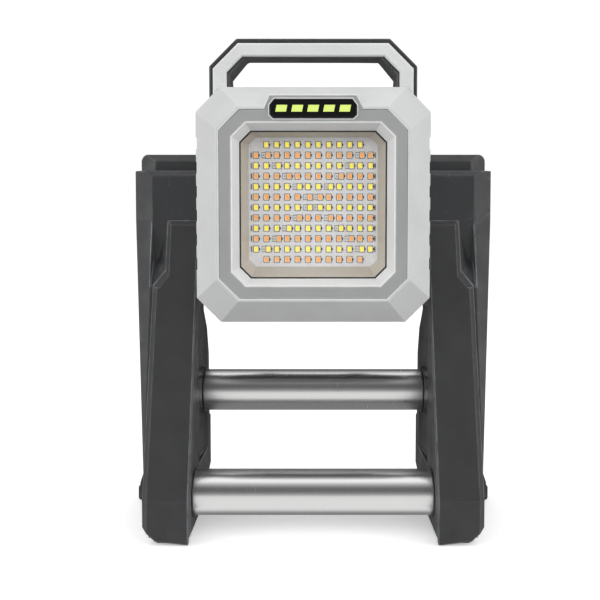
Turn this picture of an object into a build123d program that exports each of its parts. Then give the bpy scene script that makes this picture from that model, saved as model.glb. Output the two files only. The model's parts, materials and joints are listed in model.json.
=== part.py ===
from build123d import *
import os

os.makedirs("parts", exist_ok=True)

# A cordless LED work light. All sizes are in millimetres. X runs across the light, +Y runs from
# the lens towards the battery dock, +Z is up. The origin is on the floor under the middle of the
# stand. Everything is the same left and right of X = 0, so a side piece is drawn once for +X.

# ---------------------------------------------------------------- driving dimensions: the stand
tube_diameter = 25.0
tube_wall = 1.5
tube_socket = 16.0  # how far a tube goes into a leg
front_tube_y, front_tube_z = -19.5, 21.2
rear_tube_y, rear_tube_z = 22.0, 70.2

wall = 2.6  # thickness of the moulded walls
leg_inner_x = 66.5  # the legs' inner faces
leg_outer_x = 105.5  # the legs' outer faces at the arms
leg_taper = 0.098  # how much an outer face draws in for each millimetre down
leg_front_y = -39.2  # front of the toe, behind its bumper
leg_rear_y = 42.5
leg_floor_z = 3.0  # the shells stop here, on rubber feet
toe_top_z = 24.0  # above this the front leans back
arm_front_y = 2.5  # front of the upright arm
arm_foot_z = 174.5  # where the leaning front meets the upright arm
cover_top_z = 203.7
block_outer_x = 104.0  # outer face of the block above the cover
block_corner_radius = 4.5
arm_top_z = 214.1
seam_y = 12.5  # joint between the front cover and the leg body, at the arm
seam_toe_y = -35.2  # the same joint at the foot
bevel_x = 94.2  # where the front of the arm turns into its outer bevel
bevel_depth = 6.6  # how far back the outer bevel runs
bevel_foot_x = 91.8  # the same edge at the toe
pocket_x = 82.5  # outer side of the bumper beside its finger pocket
pocket_floor_z = 134.5
bumper_thickness = 3.3
bumper_top_z = 171.5
bumper_outer_x = 88.6
heel_outer_x = 107.5
foot_outer_x = 110.0

# ---------------------------------------------------------------- driving dimensions: the head
head_z = 182.0
pivot_y = 19.5
head_half = 63.8  # half width and half height of the bezel
head_corner = 13.2  # how much each corner of the bezel is cut off
bezel_front_y = -36.5
bezel_edge_y = -26.5  # where the sloping front meets the sides
bezel_rear_y = 0.0
face_half = 51.6  # the flat front inside the slope
face_rim = 1.4  # width of the bezel's rim round the trim ring
face_corner = 11.6
window_half = 43.3  # the opening in the flat front
window_corner = 7.5
lens_half = 39.6  # the clear part of the lens
lens_corner = 6.0
lens_front_y = -31.0
lens_thickness = 2.5
board_half = 35.4  # the part of the LED board that shows
board_rise = 1.8  # how far the diodes stand above the middle of the head
board_front_y = -18.0
board_thickness = 1.6
led_count = 12
led_pitch = 5.72
housing_half_x = 59.0
housing_half_z = 54.0
housing_corner = 12.0
housing_slope_y = 24.0  # where the housing starts to close in
housing_rear_y = 31.0

# ---------------------------------------------------------------- driving dimensions: the handle
handle_half = 57.0
handle_top_z = 273.0
handle_corner = 15.0
handle_front_y = -22.0
handle_bar_rear_y = -8.5
handle_post_rear_y = -1.0
plate_front_y = -24.5
plate_half = 54.7
plate_top_z = 270.0
plate_strip = 7.6  # width of the plate down the posts
plate_corner = 13.7
plate_inner_corner = 8.4
grip_inner_x = 45.8  # inner sides of the posts
grip_top_z = 262.7  # underside of the grip bar


def write(piece, name):
    """Label a finished sub-part and write its file."""
    piece.part.label = name
    export_step(piece.part, f"parts/{name}.step")


def write_pair(piece, name):
    """Write the +X piece as the right one and its mirror image as the left one."""
    write(piece, f"right_{name}")
    with BuildPart() as twin:
        mirror(piece.part, about=Plane.YZ)
    write(twin, f"left_{name}")


def facing(y, rise=0):
    """The plane across the head at depth y, looking out of the front, centred on the head."""
    return Plane(origin=(0, y, head_z + rise), x_dir=(1, 0, 0), z_dir=(0, -1, 0))


def outline(points):
    """A closed polygon in the current sketch."""
    Polygon(*points, align=None)


def octagon(half_x, half_z, corner, mode=Mode.ADD):
    """A rectangle with its four corners cut off, in the current sketch."""
    Polygon(
        (half_x, corner - half_z),
        (half_x, half_z - corner),
        (half_x - corner, half_z),
        (corner - half_x, half_z),
        (-half_x, half_z - corner),
        (-half_x, corner - half_z),
        (corner - half_x, -half_z),
        (half_x - corner, -half_z),
        align=None,
        mode=mode,
    )


def lean(z):
    """Y of the leg's leaning front at height z."""
    return leg_front_y + (z - toe_top_z) * (arm_front_y - leg_front_y) / (arm_foot_z - toe_top_z)


def outer_x(z):
    """X of the leg's outer face at height z."""
    return leg_outer_x - leg_taper * (arm_foot_z - z)


def seam(z):
    """Y of the joint between front cover and leg body at height z."""
    return seam_y - max(0, arm_foot_z - z) * (seam_y - seam_toe_y) / (arm_foot_z - toe_top_z)


def rod(radius, start, direction, length):
    """A plain round bar from a start point, as a loose solid."""
    axis = Plane(origin=start, z_dir=direction)
    return axis * Cylinder(radius, length, align=(Align.CENTER, Align.CENTER, Align.MIN))


def screw(start, direction, radius, length, head_radius, head_height):
    """A socket head screw, as a loose solid. start is under its head, direction is where it goes."""
    back = -Vector(direction)
    shank = rod(radius, start, direction, length)
    head = rod(head_radius, start, back, head_height)
    socket_start = Vector(start) + back * (head_height * 0.4)
    socket = extrude(
        Plane(origin=socket_start, z_dir=back) * RegularPolygon(head_radius * 0.5, 6),
        amount=head_height,
    )
    return shank + head - socket


def block_in_front(origin, normal, low, high):
    """Everything up to 80 mm in front of a slanted plane, between two heights, as a loose solid."""
    half = extrude(Plane(origin=origin, z_dir=normal) * Rectangle(600, 600), amount=80)
    slab = Pos(0, 0, low) * Box(400, 400, high - low, align=(Align.CENTER, Align.CENTER, Align.MIN))
    return half & slab


# ================================================================ the legs
# Side view of a whole leg, in Y and Z: an upright arm, a leaning shin and a foot.
leg_points = [
    (leg_front_y, leg_floor_z),
    (leg_front_y, toe_top_z),
    (arm_front_y, arm_foot_z),
    (arm_front_y, cover_top_z - 3.5),
    (arm_front_y + 3, cover_top_z),
    (seam_y, cover_top_z),
    (seam_y, arm_top_z - 4.2),
    (seam_y + 3.5, arm_top_z),
    (26, arm_top_z),
    (30, arm_top_z - 4),
    (28, 165),
    (24.5, 120),
    (36.5, 91),
    (37.5, 55),
    (41, 42),
    (leg_rear_y, 29),
    (leg_rear_y, leg_floor_z),
    (14, leg_floor_z),
    (9, 8),
    (-5, 8),
    (-10, leg_floor_z),
]
# Side view of everything in front of the joint between cover and body.
in_front_of_seam = [
    (leg_front_y - 20, -20),
    (leg_front_y - 20, arm_top_z + 20),
    (seam_y, arm_top_z + 20),
    (seam_y, arm_foot_z),
    (seam_toe_y, toe_top_z),
    (seam_toe_y, -20),
]
cover_screw_places = [(75, 197.5), (84, 128), (80, 46)]  # X and Z
cover_screw_radius = 2.0
tube_places = [(front_tube_y, front_tube_z), (rear_tube_y, rear_tube_z)]
tube_screw_seat_x = 86.5
pivot_radius = 5.0
pivot_recess_x = 99.0
running_gap = 0.05
small_screw = 1.5  # radius of the small screws
small_hole = small_screw + running_gap
tube_screw_radius = 2.5
counterbore = 8.0  # how far behind the joint the heads of the cover screws sit

pocket_low_z = 142.0
pocket_back_x = 92.0
pocket_top = Vector(pocket_x, lean(arm_foot_z) - bumper_thickness, arm_foot_z)
pocket_bottom = Vector(pocket_x, lean(pocket_low_z) - bumper_thickness, pocket_low_z)
pocket_back = Vector(pocket_back_x, arm_front_y, pocket_low_z + 3)
pocket_side_normal = (pocket_bottom - pocket_top).cross(pocket_back - pocket_top).normalized()
pocket_floor_normal = Vector(0.43, -0.725, 0.538).normalized()
pocket_rim_normal = Vector(-1, 0, (bevel_x - bevel_foot_x) / (arm_foot_z - toe_top_z)).normalized()
pocket_floor_start = Vector(bumper_outer_x, lean(pocket_floor_z) - bumper_thickness, pocket_floor_z)
bumper_cut = block_in_front(pocket_top, pocket_side_normal, 136, 180) & block_in_front(
    pocket_floor_start, pocket_floor_normal, 100, 180
)


def leg_volume(inset):
    """The closed outer shape of the right leg, with every face moved in by inset."""
    bevel_normal = Vector(bevel_depth, bevel_x - leg_outer_x, 0).normalized()
    arm_bevel_start = Vector(bevel_x, arm_front_y, arm_foot_z)
    arm_bevel = block_in_front(arm_bevel_start - bevel_normal * inset, bevel_normal, arm_foot_z, 230)
    # The shin's bevel carries on from the arm's bevel and narrows to nothing at the toe.
    along_bevel = Vector(leg_outer_x - bevel_x, bevel_depth, 0)
    down_shin = Vector(bevel_foot_x, lean(toe_top_z), toe_top_z) - arm_bevel_start
    shin_normal = -along_bevel.cross(down_shin).normalized()
    shin_bevel = block_in_front(arm_bevel_start - shin_normal * inset, shin_normal, -10, arm_foot_z)
    # The finger pocket beside the bumper has a slanted side and a slanted floor.
    floor_start = pocket_floor_start - pocket_floor_normal * inset
    side_start = pocket_top - pocket_side_normal * inset
    pocket_side = block_in_front(side_start, pocket_side_normal, 100, 180)
    pocket_end = block_in_front(floor_start, pocket_floor_normal, 100, 180)
    pocket_depth = Pos(0, arm_front_y + inset, 100) * Box(
        300, 90, arm_foot_z - 100 + inset, align=(Align.CENTER, Align.MAX, Align.MIN)
    )
    # Its outer side is a thin rim, in line with the inner edge of the outer bevel.
    rim_start = Vector(bevel_x, 0, arm_foot_z) - pocket_rim_normal * inset
    pocket_rim = block_in_front(rim_start, pocket_rim_normal, 100, 180)
    pocket = pocket_side & pocket_end & pocket_depth & pocket_rim
    # Above the cover the body has the same bevel, further back.
    top_start = Vector(bevel_x, seam_y, arm_top_z) - bevel_normal * inset
    top_bevel = block_in_front(top_start, bevel_normal, cover_top_z - inset, 230)
    top_step = Pos(block_outer_x - inset, 0, cover_top_z - inset) * Box(
        20, 100, 30, align=(Align.MIN, Align.CENTER, Align.MIN)
    )
    # The heel's front and rear corners are cut off.
    front_normal = Vector(0.72, -0.69, 0).normalized()
    front_start = Vector(heel_outer_x - 8, 12.5, 0) - front_normal * inset
    rear_normal = Vector(0.6, 0.8, 0).normalized()
    rear_start = Vector(heel_outer_x - 6, leg_rear_y, 0) - rear_normal * inset
    corner = (Align.MIN, Align.MIN, Align.MIN)
    heel_zone = Pos(leg_inner_x - 5, 11, -10) * Box(60, 60, 61, align=corner)
    heel_front = block_in_front(front_start, front_normal, -10, 51) & heel_zone
    heel_rear = block_in_front(rear_start, rear_normal, -10, 51) & heel_zone
    heel_corners = heel_front + heel_rear
    with BuildPart() as volume:
        with BuildSketch(Plane.YZ.offset(leg_inner_x + inset)):
            outline(leg_points)
            if inset:
                offset(amount=-inset, kind=Kind.INTERSECTION, mode=Mode.REPLACE)
        extrude(amount=leg_outer_x - leg_inner_x - 2 * inset)
        # The outer face draws in towards the foot.
        taper_normal = Vector(1, 0, -leg_taper).normalized()
        taper_origin = Vector(leg_outer_x, 0, arm_foot_z) - taper_normal * inset
        split(bisect_by=Plane(origin=taper_origin, z_dir=taper_normal), keep=Keep.BOTTOM)
        add(pocket, mode=Mode.SUBTRACT)
        add(arm_bevel, mode=Mode.SUBTRACT)
        add(top_bevel, mode=Mode.SUBTRACT)
        add(top_step, mode=Mode.SUBTRACT)
        add(shin_bevel, mode=Mode.SUBTRACT)
        if not inset:
            top_edge = volume.edges().filter_by(Axis.Y).group_by(Axis.Z)[-1].sort_by(Axis.X)[-1:]
            fillet(top_edge, block_corner_radius)
        # The heel flares out to the side.
        with BuildSketch(Plane.XZ.offset(-leg_rear_y + inset)):
            outline([
                (leg_inner_x + inset, 50 - inset),
                (outer_x(50) - inset, 50 - inset),
                (heel_outer_x - inset, 12),
                (heel_outer_x - inset, leg_floor_z + inset),
                (leg_inner_x + inset, leg_floor_z + inset),
            ])
        extrude(amount=30 - 2 * inset)
        # The lower inner edge is cut away in a slope that grows towards the heel.
        slope_normal = Vector(-51, 16, -51).normalized()
        slope_origin = Vector(leg_inner_x, -9, 2) - slope_normal * inset
        split(bisect_by=Plane(origin=slope_origin, z_dir=slope_normal), keep=Keep.BOTTOM)
        add(heel_corners, mode=Mode.SUBTRACT)
    return volume.part


leg_outside = leg_volume(0)
leg_inside = leg_volume(wall)

tube_screws = []
cover_screws = []
for y, z in tube_places:
    tube_screws.append(screw((tube_screw_seat_x, y, z), (-1, 0, 0), tube_screw_radius, 24, 4.2, 2.6))
for x, z in cover_screw_places:
    seat_y = seam(z) + counterbore
    screw_length = seat_y - lean(min(z, arm_foot_z)) - 1.6
    cover_screws.append(screw((x, seat_y, z), (0, -1, 0), cover_screw_radius, screw_length, 3.6, 3.4))

scoop_radius = 60
scoop_depth = 2.5
scoop_y = 12
scoop_low_z = 32
scoop_high_z = 124

# The body is the rear shell: it holds both tubes, the pivot and the screws.
with BuildPart() as leg_body:
    add(leg_outside)
    with BuildSketch(Plane.YZ.offset(leg_inner_x - 1)):
        outline(in_front_of_seam)
    extrude(amount=60, mode=Mode.SUBTRACT)
    add(leg_inside, mode=Mode.SUBTRACT)
    # Bosses run from the inner wall to the outer wall.
    with BuildSketch(Plane.YZ.offset(leg_inner_x)):
        for y, z in tube_places:
            with Locations((y, z)):
                Circle(tube_diameter / 2 + wall)
    extrude(amount=tube_socket + wall)
    with BuildSketch(Plane.YZ.offset(leg_inner_x)):
        with Locations((pivot_y, head_z)):
            Circle(pivot_radius + 5)
        for y, z in tube_places:
            with Locations((y, z)):
                Circle(7)
    extrude(amount=leg_outer_x - leg_inner_x)
    for x, z in cover_screw_places:
        with BuildSketch(Plane(origin=(x, seam(z), z), x_dir=(1, 0, 0), z_dir=(0, 1, 0))):
            Circle(cover_screw_radius + 2.8)
        extrude(amount=90)
    # The inner wall is thicker where the scoop is cut into it.
    with BuildSketch(Plane.YZ.offset(leg_inner_x)):
        with Locations((scoop_y, (scoop_low_z + scoop_high_z) / 2)):
            Rectangle(40, scoop_high_z - scoop_low_z + 2 * wall)
    extrude(amount=scoop_depth + wall)
    add(leg_outside, mode=Mode.INTERSECT)
    with BuildSketch(Plane.YZ.offset(leg_inner_x - 1)):
        outline(in_front_of_seam)
    extrude(amount=60, mode=Mode.SUBTRACT)
    # Sockets for the tubes, open on the inside, with a recess for each screw on the outside.
    with BuildSketch(Plane.YZ.offset(leg_inner_x)):
        for y, z in tube_places:
            with Locations((y, z)):
                Circle(tube_diameter / 2)
    extrude(amount=tube_socket, mode=Mode.SUBTRACT)
    with BuildSketch(Plane.YZ.offset(leg_inner_x)):
        for y, z in tube_places:
            with Locations((y, z)):
                Circle(tube_screw_radius + running_gap)
        with Locations((pivot_y, head_z)):
            Circle(pivot_radius + running_gap)
    extrude(amount=60, mode=Mode.SUBTRACT)
    with BuildSketch(Plane.YZ.offset(tube_screw_seat_x)):
        for y, z in tube_places:
            with Locations((y, z)):
                Circle(4.6)
    extrude(amount=30, mode=Mode.SUBTRACT)
    with BuildSketch(Plane.YZ.offset(pivot_recess_x)):
        with Locations((pivot_y, head_z)):
            Circle(6.8)
    extrude(amount=30, mode=Mode.SUBTRACT)
    for x, z in cover_screw_places:
        back = Plane(origin=(x, seam(z), z), x_dir=(1, 0, 0), z_dir=(0, 1, 0))
        with BuildSketch(back):
            Circle(cover_screw_radius + running_gap)
        extrude(amount=60, both=True, mode=Mode.SUBTRACT)
        with BuildSketch(back.offset(counterbore)):
            Circle(4.0)
        extrude(amount=90, mode=Mode.SUBTRACT)
    # A long shallow scoop runs down the inner face between the two tubes.
    with BuildSketch(Plane.XY.offset(scoop_low_z)):
        with Locations((leg_inner_x + scoop_depth - scoop_radius, scoop_y)):
            Circle(scoop_radius)
    extrude(amount=scoop_high_z - scoop_low_z, mode=Mode.SUBTRACT)
    # The corner of the finger pocket stands apart from the body, so the cover has it.
    body_solids = leg_body.solids().sort_by(SortBy.VOLUME)
    pocket_corner = body_solids[:-1]
    add(body_solids[-1], mode=Mode.REPLACE)
write_pair(leg_body, "leg_body")

# The cover is the front shell, screwed on from behind.
with BuildPart() as leg_cover:
    add(leg_outside)
    with BuildSketch(Plane.YZ.offset(leg_inner_x - 1)):
        outline(in_front_of_seam)
    extrude(amount=60, mode=Mode.INTERSECT)
    add(leg_inside, mode=Mode.SUBTRACT)
    for x, z in cover_screw_places:
        with BuildSketch(Plane(origin=(x, seam(z), z), x_dir=(1, 0, 0), z_dir=(0, -1, 0))):
            Circle(cover_screw_radius + 2.2)
        extrude(amount=seam(z) - lean(min(z, arm_foot_z)) - 1)
    add(leg_outside, mode=Mode.INTERSECT)
    for x, z in cover_screw_places:
        with BuildSketch(Plane(origin=(x, seam(z), z), x_dir=(1, 0, 0), z_dir=(0, -1, 0))):
            Circle(cover_screw_radius + running_gap)
        extrude(amount=seam(z) - lean(min(z, arm_foot_z)) - 1.4, mode=Mode.SUBTRACT)
    add(pocket_corner)
write_pair(leg_cover, "leg_cover")

# The bumper is a rubber face on the shin. Beside the finger pocket it is narrower.
with BuildPart() as bumper:
    with BuildSketch(Plane.YZ.offset(leg_inner_x + 0.3)):
        outline([
            (leg_front_y - bumper_thickness, 0.4),
            (leg_front_y - bumper_thickness, toe_top_z),
            (lean(bumper_top_z) - bumper_thickness, bumper_top_z),
            (lean(bumper_top_z + 3), bumper_top_z + 3),
            (leg_front_y, toe_top_z),
            (leg_front_y, 0.4),
        ])
    extrude(amount=40)
    # Seen from the front: narrow at the top, wide below the pocket, with a cut corner at the toe.
    with BuildSketch(Plane.XZ.offset(60)):
        outline([
            (leg_inner_x, 0.2),
            (84.5, 2.3),
            (bumper_outer_x + bumper_thickness, 9),
            (bumper_outer_x + bumper_thickness, 180),
            (leg_inner_x, 180),
        ])
    extrude(amount=-80, mode=Mode.INTERSECT)
    # A 45 degree bevel runs down the outer edge of the wide part.
    outer_edges = bumper.edges().filter_by(
        lambda e: abs(e.center().X - bumper_outer_x - bumper_thickness) < 0.1
        and e.length > 12
        and e.center().Y < lean(max(toe_top_z, e.center().Z)) - bumper_thickness / 2
    )
    chamfer(outer_edges, bumper_thickness - 0.4)
    add(bumper_cut, mode=Mode.SUBTRACT)
write_pair(bumper, "leg_bumper")

# Rubber under the toe and around the heel.
with BuildPart() as toe_pad:
    with BuildSketch(Plane.XY):
        outline([(69, -38.6), (84, -38.6), (87, -35), (87, -12), (69, -12)])
    extrude(amount=leg_floor_z)
    fillet(toe_pad.edges().filter_by(Axis.Z), 1.5)
write_pair(toe_pad, "toe_pad")

with BuildPart() as heel_pad:
    with BuildSketch(Plane.XY):
        outline([
            (86, 15),
            (98, 13.5),
            (foot_outer_x - 1, 24.5),
            (foot_outer_x, 27),
            (foot_outer_x, 36),
            (105, leg_rear_y),
            (86, leg_rear_y),
        ])
    extrude(amount=10)
    rim = heel_pad.faces().sort_by(Axis.Z)[-1]
    chamfer(rim.edges().filter_by(lambda e: e.center().X > 99), 5.5, 2.4, reference=rim)
    add(leg_outside, mode=Mode.SUBTRACT)
write_pair(heel_pad, "heel_pad")

with BuildPart() as leg_screws:
    add(cover_screws)
write_pair(leg_screws, "cover_screws")

with BuildPart() as end_screws:
    add(tube_screws)
write_pair(end_screws, "tube_screws")

washer_thickness = 1.9
bush_inner_x = 47.0
bolt_length = pivot_recess_x - bush_inner_x - 2
bolt = screw((pivot_recess_x, pivot_y, head_z), (-1, 0, 0), pivot_radius, bolt_length, 6.3, 4.4)
with BuildPart() as pivot_bolt:
    add(bolt)
write_pair(pivot_bolt, "pivot_bolt")

with BuildPart() as friction_washer:
    with BuildSketch(Plane.YZ.offset(leg_inner_x)):
        with Locations((pivot_y, head_z)):
            Circle(9.5)
            Circle(pivot_radius + running_gap, mode=Mode.SUBTRACT)
    extrude(amount=-washer_thickness)
write_pair(friction_washer, "friction_washer")

# ================================================================ the tubes between the legs
tube_length = 2 * (leg_inner_x + tube_socket)
for (y, z), name in zip(tube_places, ("front_tube", "rear_tube")):
    with BuildPart() as tube:
        with BuildSketch(Plane.YZ.offset(-tube_length / 2)):
            with Locations((y, z)):
                Circle(tube_diameter / 2)
                Circle(tube_diameter / 2 - tube_wall, mode=Mode.SUBTRACT)
        extrude(amount=tube_length)
    write(tube, name)

with BuildPart() as tube_plugs:
    for side in (-1, 1):
        with BuildSketch(Plane.YZ.offset(side * (leg_inner_x + tube_socket))):
            for y, z in tube_places:
                with Locations((y, z)):
                    Circle(tube_diameter / 2 - tube_wall)
                    Circle(tube_screw_radius + running_gap, mode=Mode.SUBTRACT)
        extrude(amount=-side * 24)
write(tube_plugs, "tube_plugs")

# ================================================================ the head
def tab_outline(half, shoulder_z, top_half, top_z, foot_z):
    """Outline of the indicator's tab: upright sides and two slanted shoulders."""
    return [
        (-half, foot_z),
        (half, foot_z),
        (half, shoulder_z),
        (top_half, top_z),
        (-top_half, top_z),
        (-half, shoulder_z),
    ]


tab_points = tab_outline(26.9, 50.5, 23.4, 58.1, 44)
tab_inside = tab_outline(25.8, 51.0, 22.8, 57.1, 40)
window_half_x = 23.2
window_low, window_high = 45.4, 55.7
window_cut_low, window_cut_x, window_cut_z = 2.0, 2.6, 3.3
window_points = [
    (-window_half_x, window_low + window_cut_low),
    (window_cut_low - window_half_x, window_low),
    (window_half_x - window_cut_low, window_low),
    (window_half_x, window_low + window_cut_low),
    (window_half_x, window_high - window_cut_z),
    (window_half_x - window_cut_x, window_high),
    (window_cut_x - window_half_x, window_high),
    (-window_half_x, window_high - window_cut_z),
]
trim_front_y = bezel_front_y + 0.5
trim_rear_y = bezel_front_y + 2.6
window_rear_y = bezel_front_y + 1.6
window_thickness = 2.3
inner_half = head_half - wall
notch_depth = 0.7
notch_pitch = 13.1
slot_pitch = 7.0  # of the cooling slots, and of the heat sink's fins
lens_half_outer = 46.0
flange_front_y = -28.0
flange_rear_y = -25.4
flange_half = 41.6
screw_corners = [(x, z) for x in (-40, 40) for z in (-58, 58)]
post_x = 51.5  # the handle's fixings, seen from the front
post_seat_z = 59.6
post_places = [(side * post_x, y) for side in (-1, 1) for y in (-17, -8)]

with BuildPart() as bezel:
    with BuildSketch(facing(bezel_rear_y)):
        octagon(head_half, head_half, head_corner)
    extrude(amount=bezel_rear_y - bezel_edge_y)
    with BuildSketch(facing(bezel_edge_y)):
        octagon(head_half, head_half, head_corner)
    with BuildSketch(facing(bezel_front_y)):
        octagon(face_half, face_half, face_corner)
    loft()
    # A raised tab at the top carries the charge indicator.
    with BuildSketch(facing(bezel_edge_y)):
        outline(tab_points)
    extrude(amount=bezel_edge_y - bezel_front_y)
    # Hollow behind, with a flange that carries the lens.
    with BuildSketch(facing(bezel_rear_y)):
        octagon(inner_half, inner_half, head_corner - 1)
    extrude(amount=bezel_rear_y - flange_rear_y, mode=Mode.SUBTRACT)
    with BuildSketch(facing(flange_rear_y)):
        octagon(flange_half, flange_half, 7)
    extrude(amount=20, mode=Mode.SUBTRACT)
    with BuildSketch(facing(flange_front_y)):
        octagon(face_half - face_rim, face_half - face_rim, face_corner - 0.6)
    extrude(amount=20, mode=Mode.SUBTRACT)
    with BuildSketch(facing(trim_rear_y)):
        outline(tab_inside)
    extrude(amount=10, mode=Mode.SUBTRACT)
    # Six shallow notches in each side edge.
    notches = [(head_z + 0.75 + (i - 2.5) * notch_pitch) for i in range(6)]
    with Locations(*[(side * head_half, -12, z) for side in (-1, 1) for z in notches]):
        Box(2 * notch_depth, 30, 6.2, mode=Mode.SUBTRACT)
    # Cooling slots through the top and the bottom wall.
    with Locations(*[(i * slot_pitch, -12, head_z) for i in range(-4, 5)]):
        Box(3, 14, 2 * head_half + 2, mode=Mode.SUBTRACT)
    # Screw bosses for the rear housing.
    with BuildSketch(facing(bezel_rear_y)):
        with Locations(*screw_corners):
            Circle(4)
    extrude(amount=bezel_rear_y - flange_rear_y)
    with BuildSketch(facing(bezel_rear_y)):
        with Locations(*screw_corners):
            Circle(small_hole)
    extrude(amount=18, mode=Mode.SUBTRACT)
    # Holes for the screws that go up into the handle's posts.
    with BuildSketch(Plane.XY.offset(head_z + post_seat_z)):
        with Locations(*post_places):
            Circle(2.6)
    extrude(amount=-12, mode=Mode.SUBTRACT)
    with BuildSketch(Plane.XY.offset(head_z + post_seat_z)):
        with Locations(*post_places):
            Circle(small_hole)
    extrude(amount=10, mode=Mode.SUBTRACT)
write(bezel, "bezel")

# A flat ring fills the face and the tab, round a lens frame with a sloping inner edge.
trim_half = face_half - face_rim - 0.1
frame_half = window_half + 0.6
with BuildPart() as trim_ring:
    with BuildSketch(facing(trim_rear_y)):
        octagon(trim_half, trim_half, face_corner - 0.65)
        outline(tab_inside)
        octagon(frame_half, frame_half, window_corner + 0.3, mode=Mode.SUBTRACT)
    extrude(amount=trim_rear_y - trim_front_y)
    with BuildSketch(facing(window_rear_y)):
        outline(window_points)
    extrude(amount=10, mode=Mode.SUBTRACT)
write(trim_ring, "trim_ring")

with BuildPart() as lens_frame:
    with BuildSketch(facing(lens_front_y)):
        octagon(trim_half, trim_half, face_corner - 0.65)
    extrude(amount=lens_front_y - trim_rear_y)
    with BuildSketch(facing(trim_rear_y)):
        octagon(frame_half, frame_half, window_corner + 0.3)
    extrude(amount=trim_rear_y - trim_front_y)
    with BuildSketch(facing(lens_front_y)):
        octagon(lens_half, lens_half, lens_corner)
    with BuildSketch(facing(trim_front_y)):
        octagon(window_half, window_half, window_corner)
    loft(mode=Mode.SUBTRACT)
write(lens_frame, "lens_frame")

with BuildPart() as lens:
    with BuildSketch(facing(lens_front_y + lens_thickness)):
        octagon(lens_half_outer, lens_half_outer, 9)
    extrude(amount=lens_thickness)
write(lens, "lens")

with BuildPart() as lens_gasket:
    with BuildSketch(facing(flange_front_y)):
        octagon(lens_half_outer, lens_half_outer, 9)
        octagon(flange_half, flange_half, 7, mode=Mode.SUBTRACT)
    extrude(amount=flange_front_y - lens_front_y - lens_thickness)
write(lens_gasket, "lens_gasket")

# The reflector is a square funnel round the LED board.
reflector_front_y = flange_front_y - 0.3
reflector_wall = 1.4
reflector_corner = 4.0
with BuildPart() as reflector:
    with BuildSketch(facing(board_front_y, board_rise)):
        octagon(board_half + reflector_wall, board_half + reflector_wall, reflector_corner + 1)
    with BuildSketch(facing(reflector_front_y)):
        octagon(lens_half + reflector_wall, lens_half + reflector_wall, lens_corner + 0.6)
    loft()
    with BuildSketch(facing(board_front_y, board_rise)):
        octagon(board_half, board_half, reflector_corner)
    with BuildSketch(facing(reflector_front_y)):
        octagon(lens_half, lens_half, lens_corner)
    loft(mode=Mode.SUBTRACT)
write(reflector, "reflector")

# The board, its light-emitting diodes in alternate cool and warm rows, and its resistors.
board_outer = 41.0
board_fixing = 38.5
board_corners = [(x, z) for x in (-board_fixing, board_fixing) for z in (-board_fixing, board_fixing)]
led_x, led_z, led_height = 2.8, 3.5, 0.7
led_step = 1.05
resistor_x, resistor_z, resistor_height = 2.0, 3.0, 0.5
resistor_step = 2.5  # from the middle of a diode to the middle of its resistor


def on_diagonal(column, row):
    """True for the places on the board's two diagonals."""
    return column == row or column == led_count - 1 - row


def led_centre(column, row):
    """Place of one diode, counted from the lower left corner. A resistor pushes it to the right."""
    middle = (led_count - 1) / 2
    aside = led_step if on_diagonal(column, row) else 0
    return ((column - middle) * led_pitch + aside, (row - middle) * led_pitch)


def is_corner(column, row):
    """True for the four places at the corners of the board, which stay empty."""
    return column in (0, led_count - 1) and row in (0, led_count - 1)


places = [(c, r) for r in range(led_count) for c in range(led_count) if not is_corner(c, r)]
with BuildPart() as led_board:
    with BuildSketch(facing(board_front_y + board_thickness)):
        Rectangle(2 * board_outer, 2 * board_outer)
        with Locations(*board_corners):
            Circle(small_hole, mode=Mode.SUBTRACT)
    extrude(amount=board_thickness)
write(led_board, "led_board")

for name, parity in (("cool_leds", 1), ("warm_leds", 0)):
    with BuildPart() as leds:
        with BuildSketch(facing(board_front_y, board_rise)):
            with Locations(*[led_centre(c, r) for c, r in places if r % 2 == parity]):
                Rectangle(led_x, led_z)
        extrude(amount=led_height)
    write(leds, name)

with BuildPart() as resistors:
    with BuildSketch(facing(board_front_y, board_rise)):
        with Locations(*[led_centre(c, r) for c, r in places if on_diagonal(c, r)]):
            with Locations((-resistor_step, 0)):
                Rectangle(resistor_x, resistor_z)
    extrude(amount=resistor_height)
write(resistors, "resistors")

# The heat sink carries the board and stands on four bosses.
sink_front_y = board_front_y + board_thickness
sink_plate = 3.0
sink_rear_y = -3.0
lead_z = -34.0  # where the leads pass from the driver board to the LED board
with BuildPart() as heat_sink:
    with BuildSketch(facing(sink_front_y + sink_plate)):
        octagon(57, 57, 20)
    extrude(amount=sink_plate)
    fin_y = (sink_front_y + sink_plate + sink_rear_y) / 2
    with Locations(*[((i + 0.5) * slot_pitch, fin_y, head_z) for i in range(-6, 6)]):
        Box(1.8, sink_rear_y - sink_front_y - sink_plate, 98)
    with BuildSketch(facing(sink_rear_y)):
        with Locations(*screw_corners):
            Circle(4.3)
    extrude(amount=40, mode=Mode.SUBTRACT)
    with BuildSketch(facing(0)):
        with Locations(*board_corners):
            Circle(small_hole)
        with Locations((0, lead_z)):
            Circle(2.5)
    extrude(amount=40, mode=Mode.SUBTRACT)
write(heat_sink, "heat_sink")

small_screws = [
    screw((x, board_front_y, head_z + z), (0, 1, 0), small_screw, 4.4, 1.95, 1.2) for x, z in board_corners
]
with BuildPart() as board_screws:
    add(small_screws)
write(board_screws, "board_screws")

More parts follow.
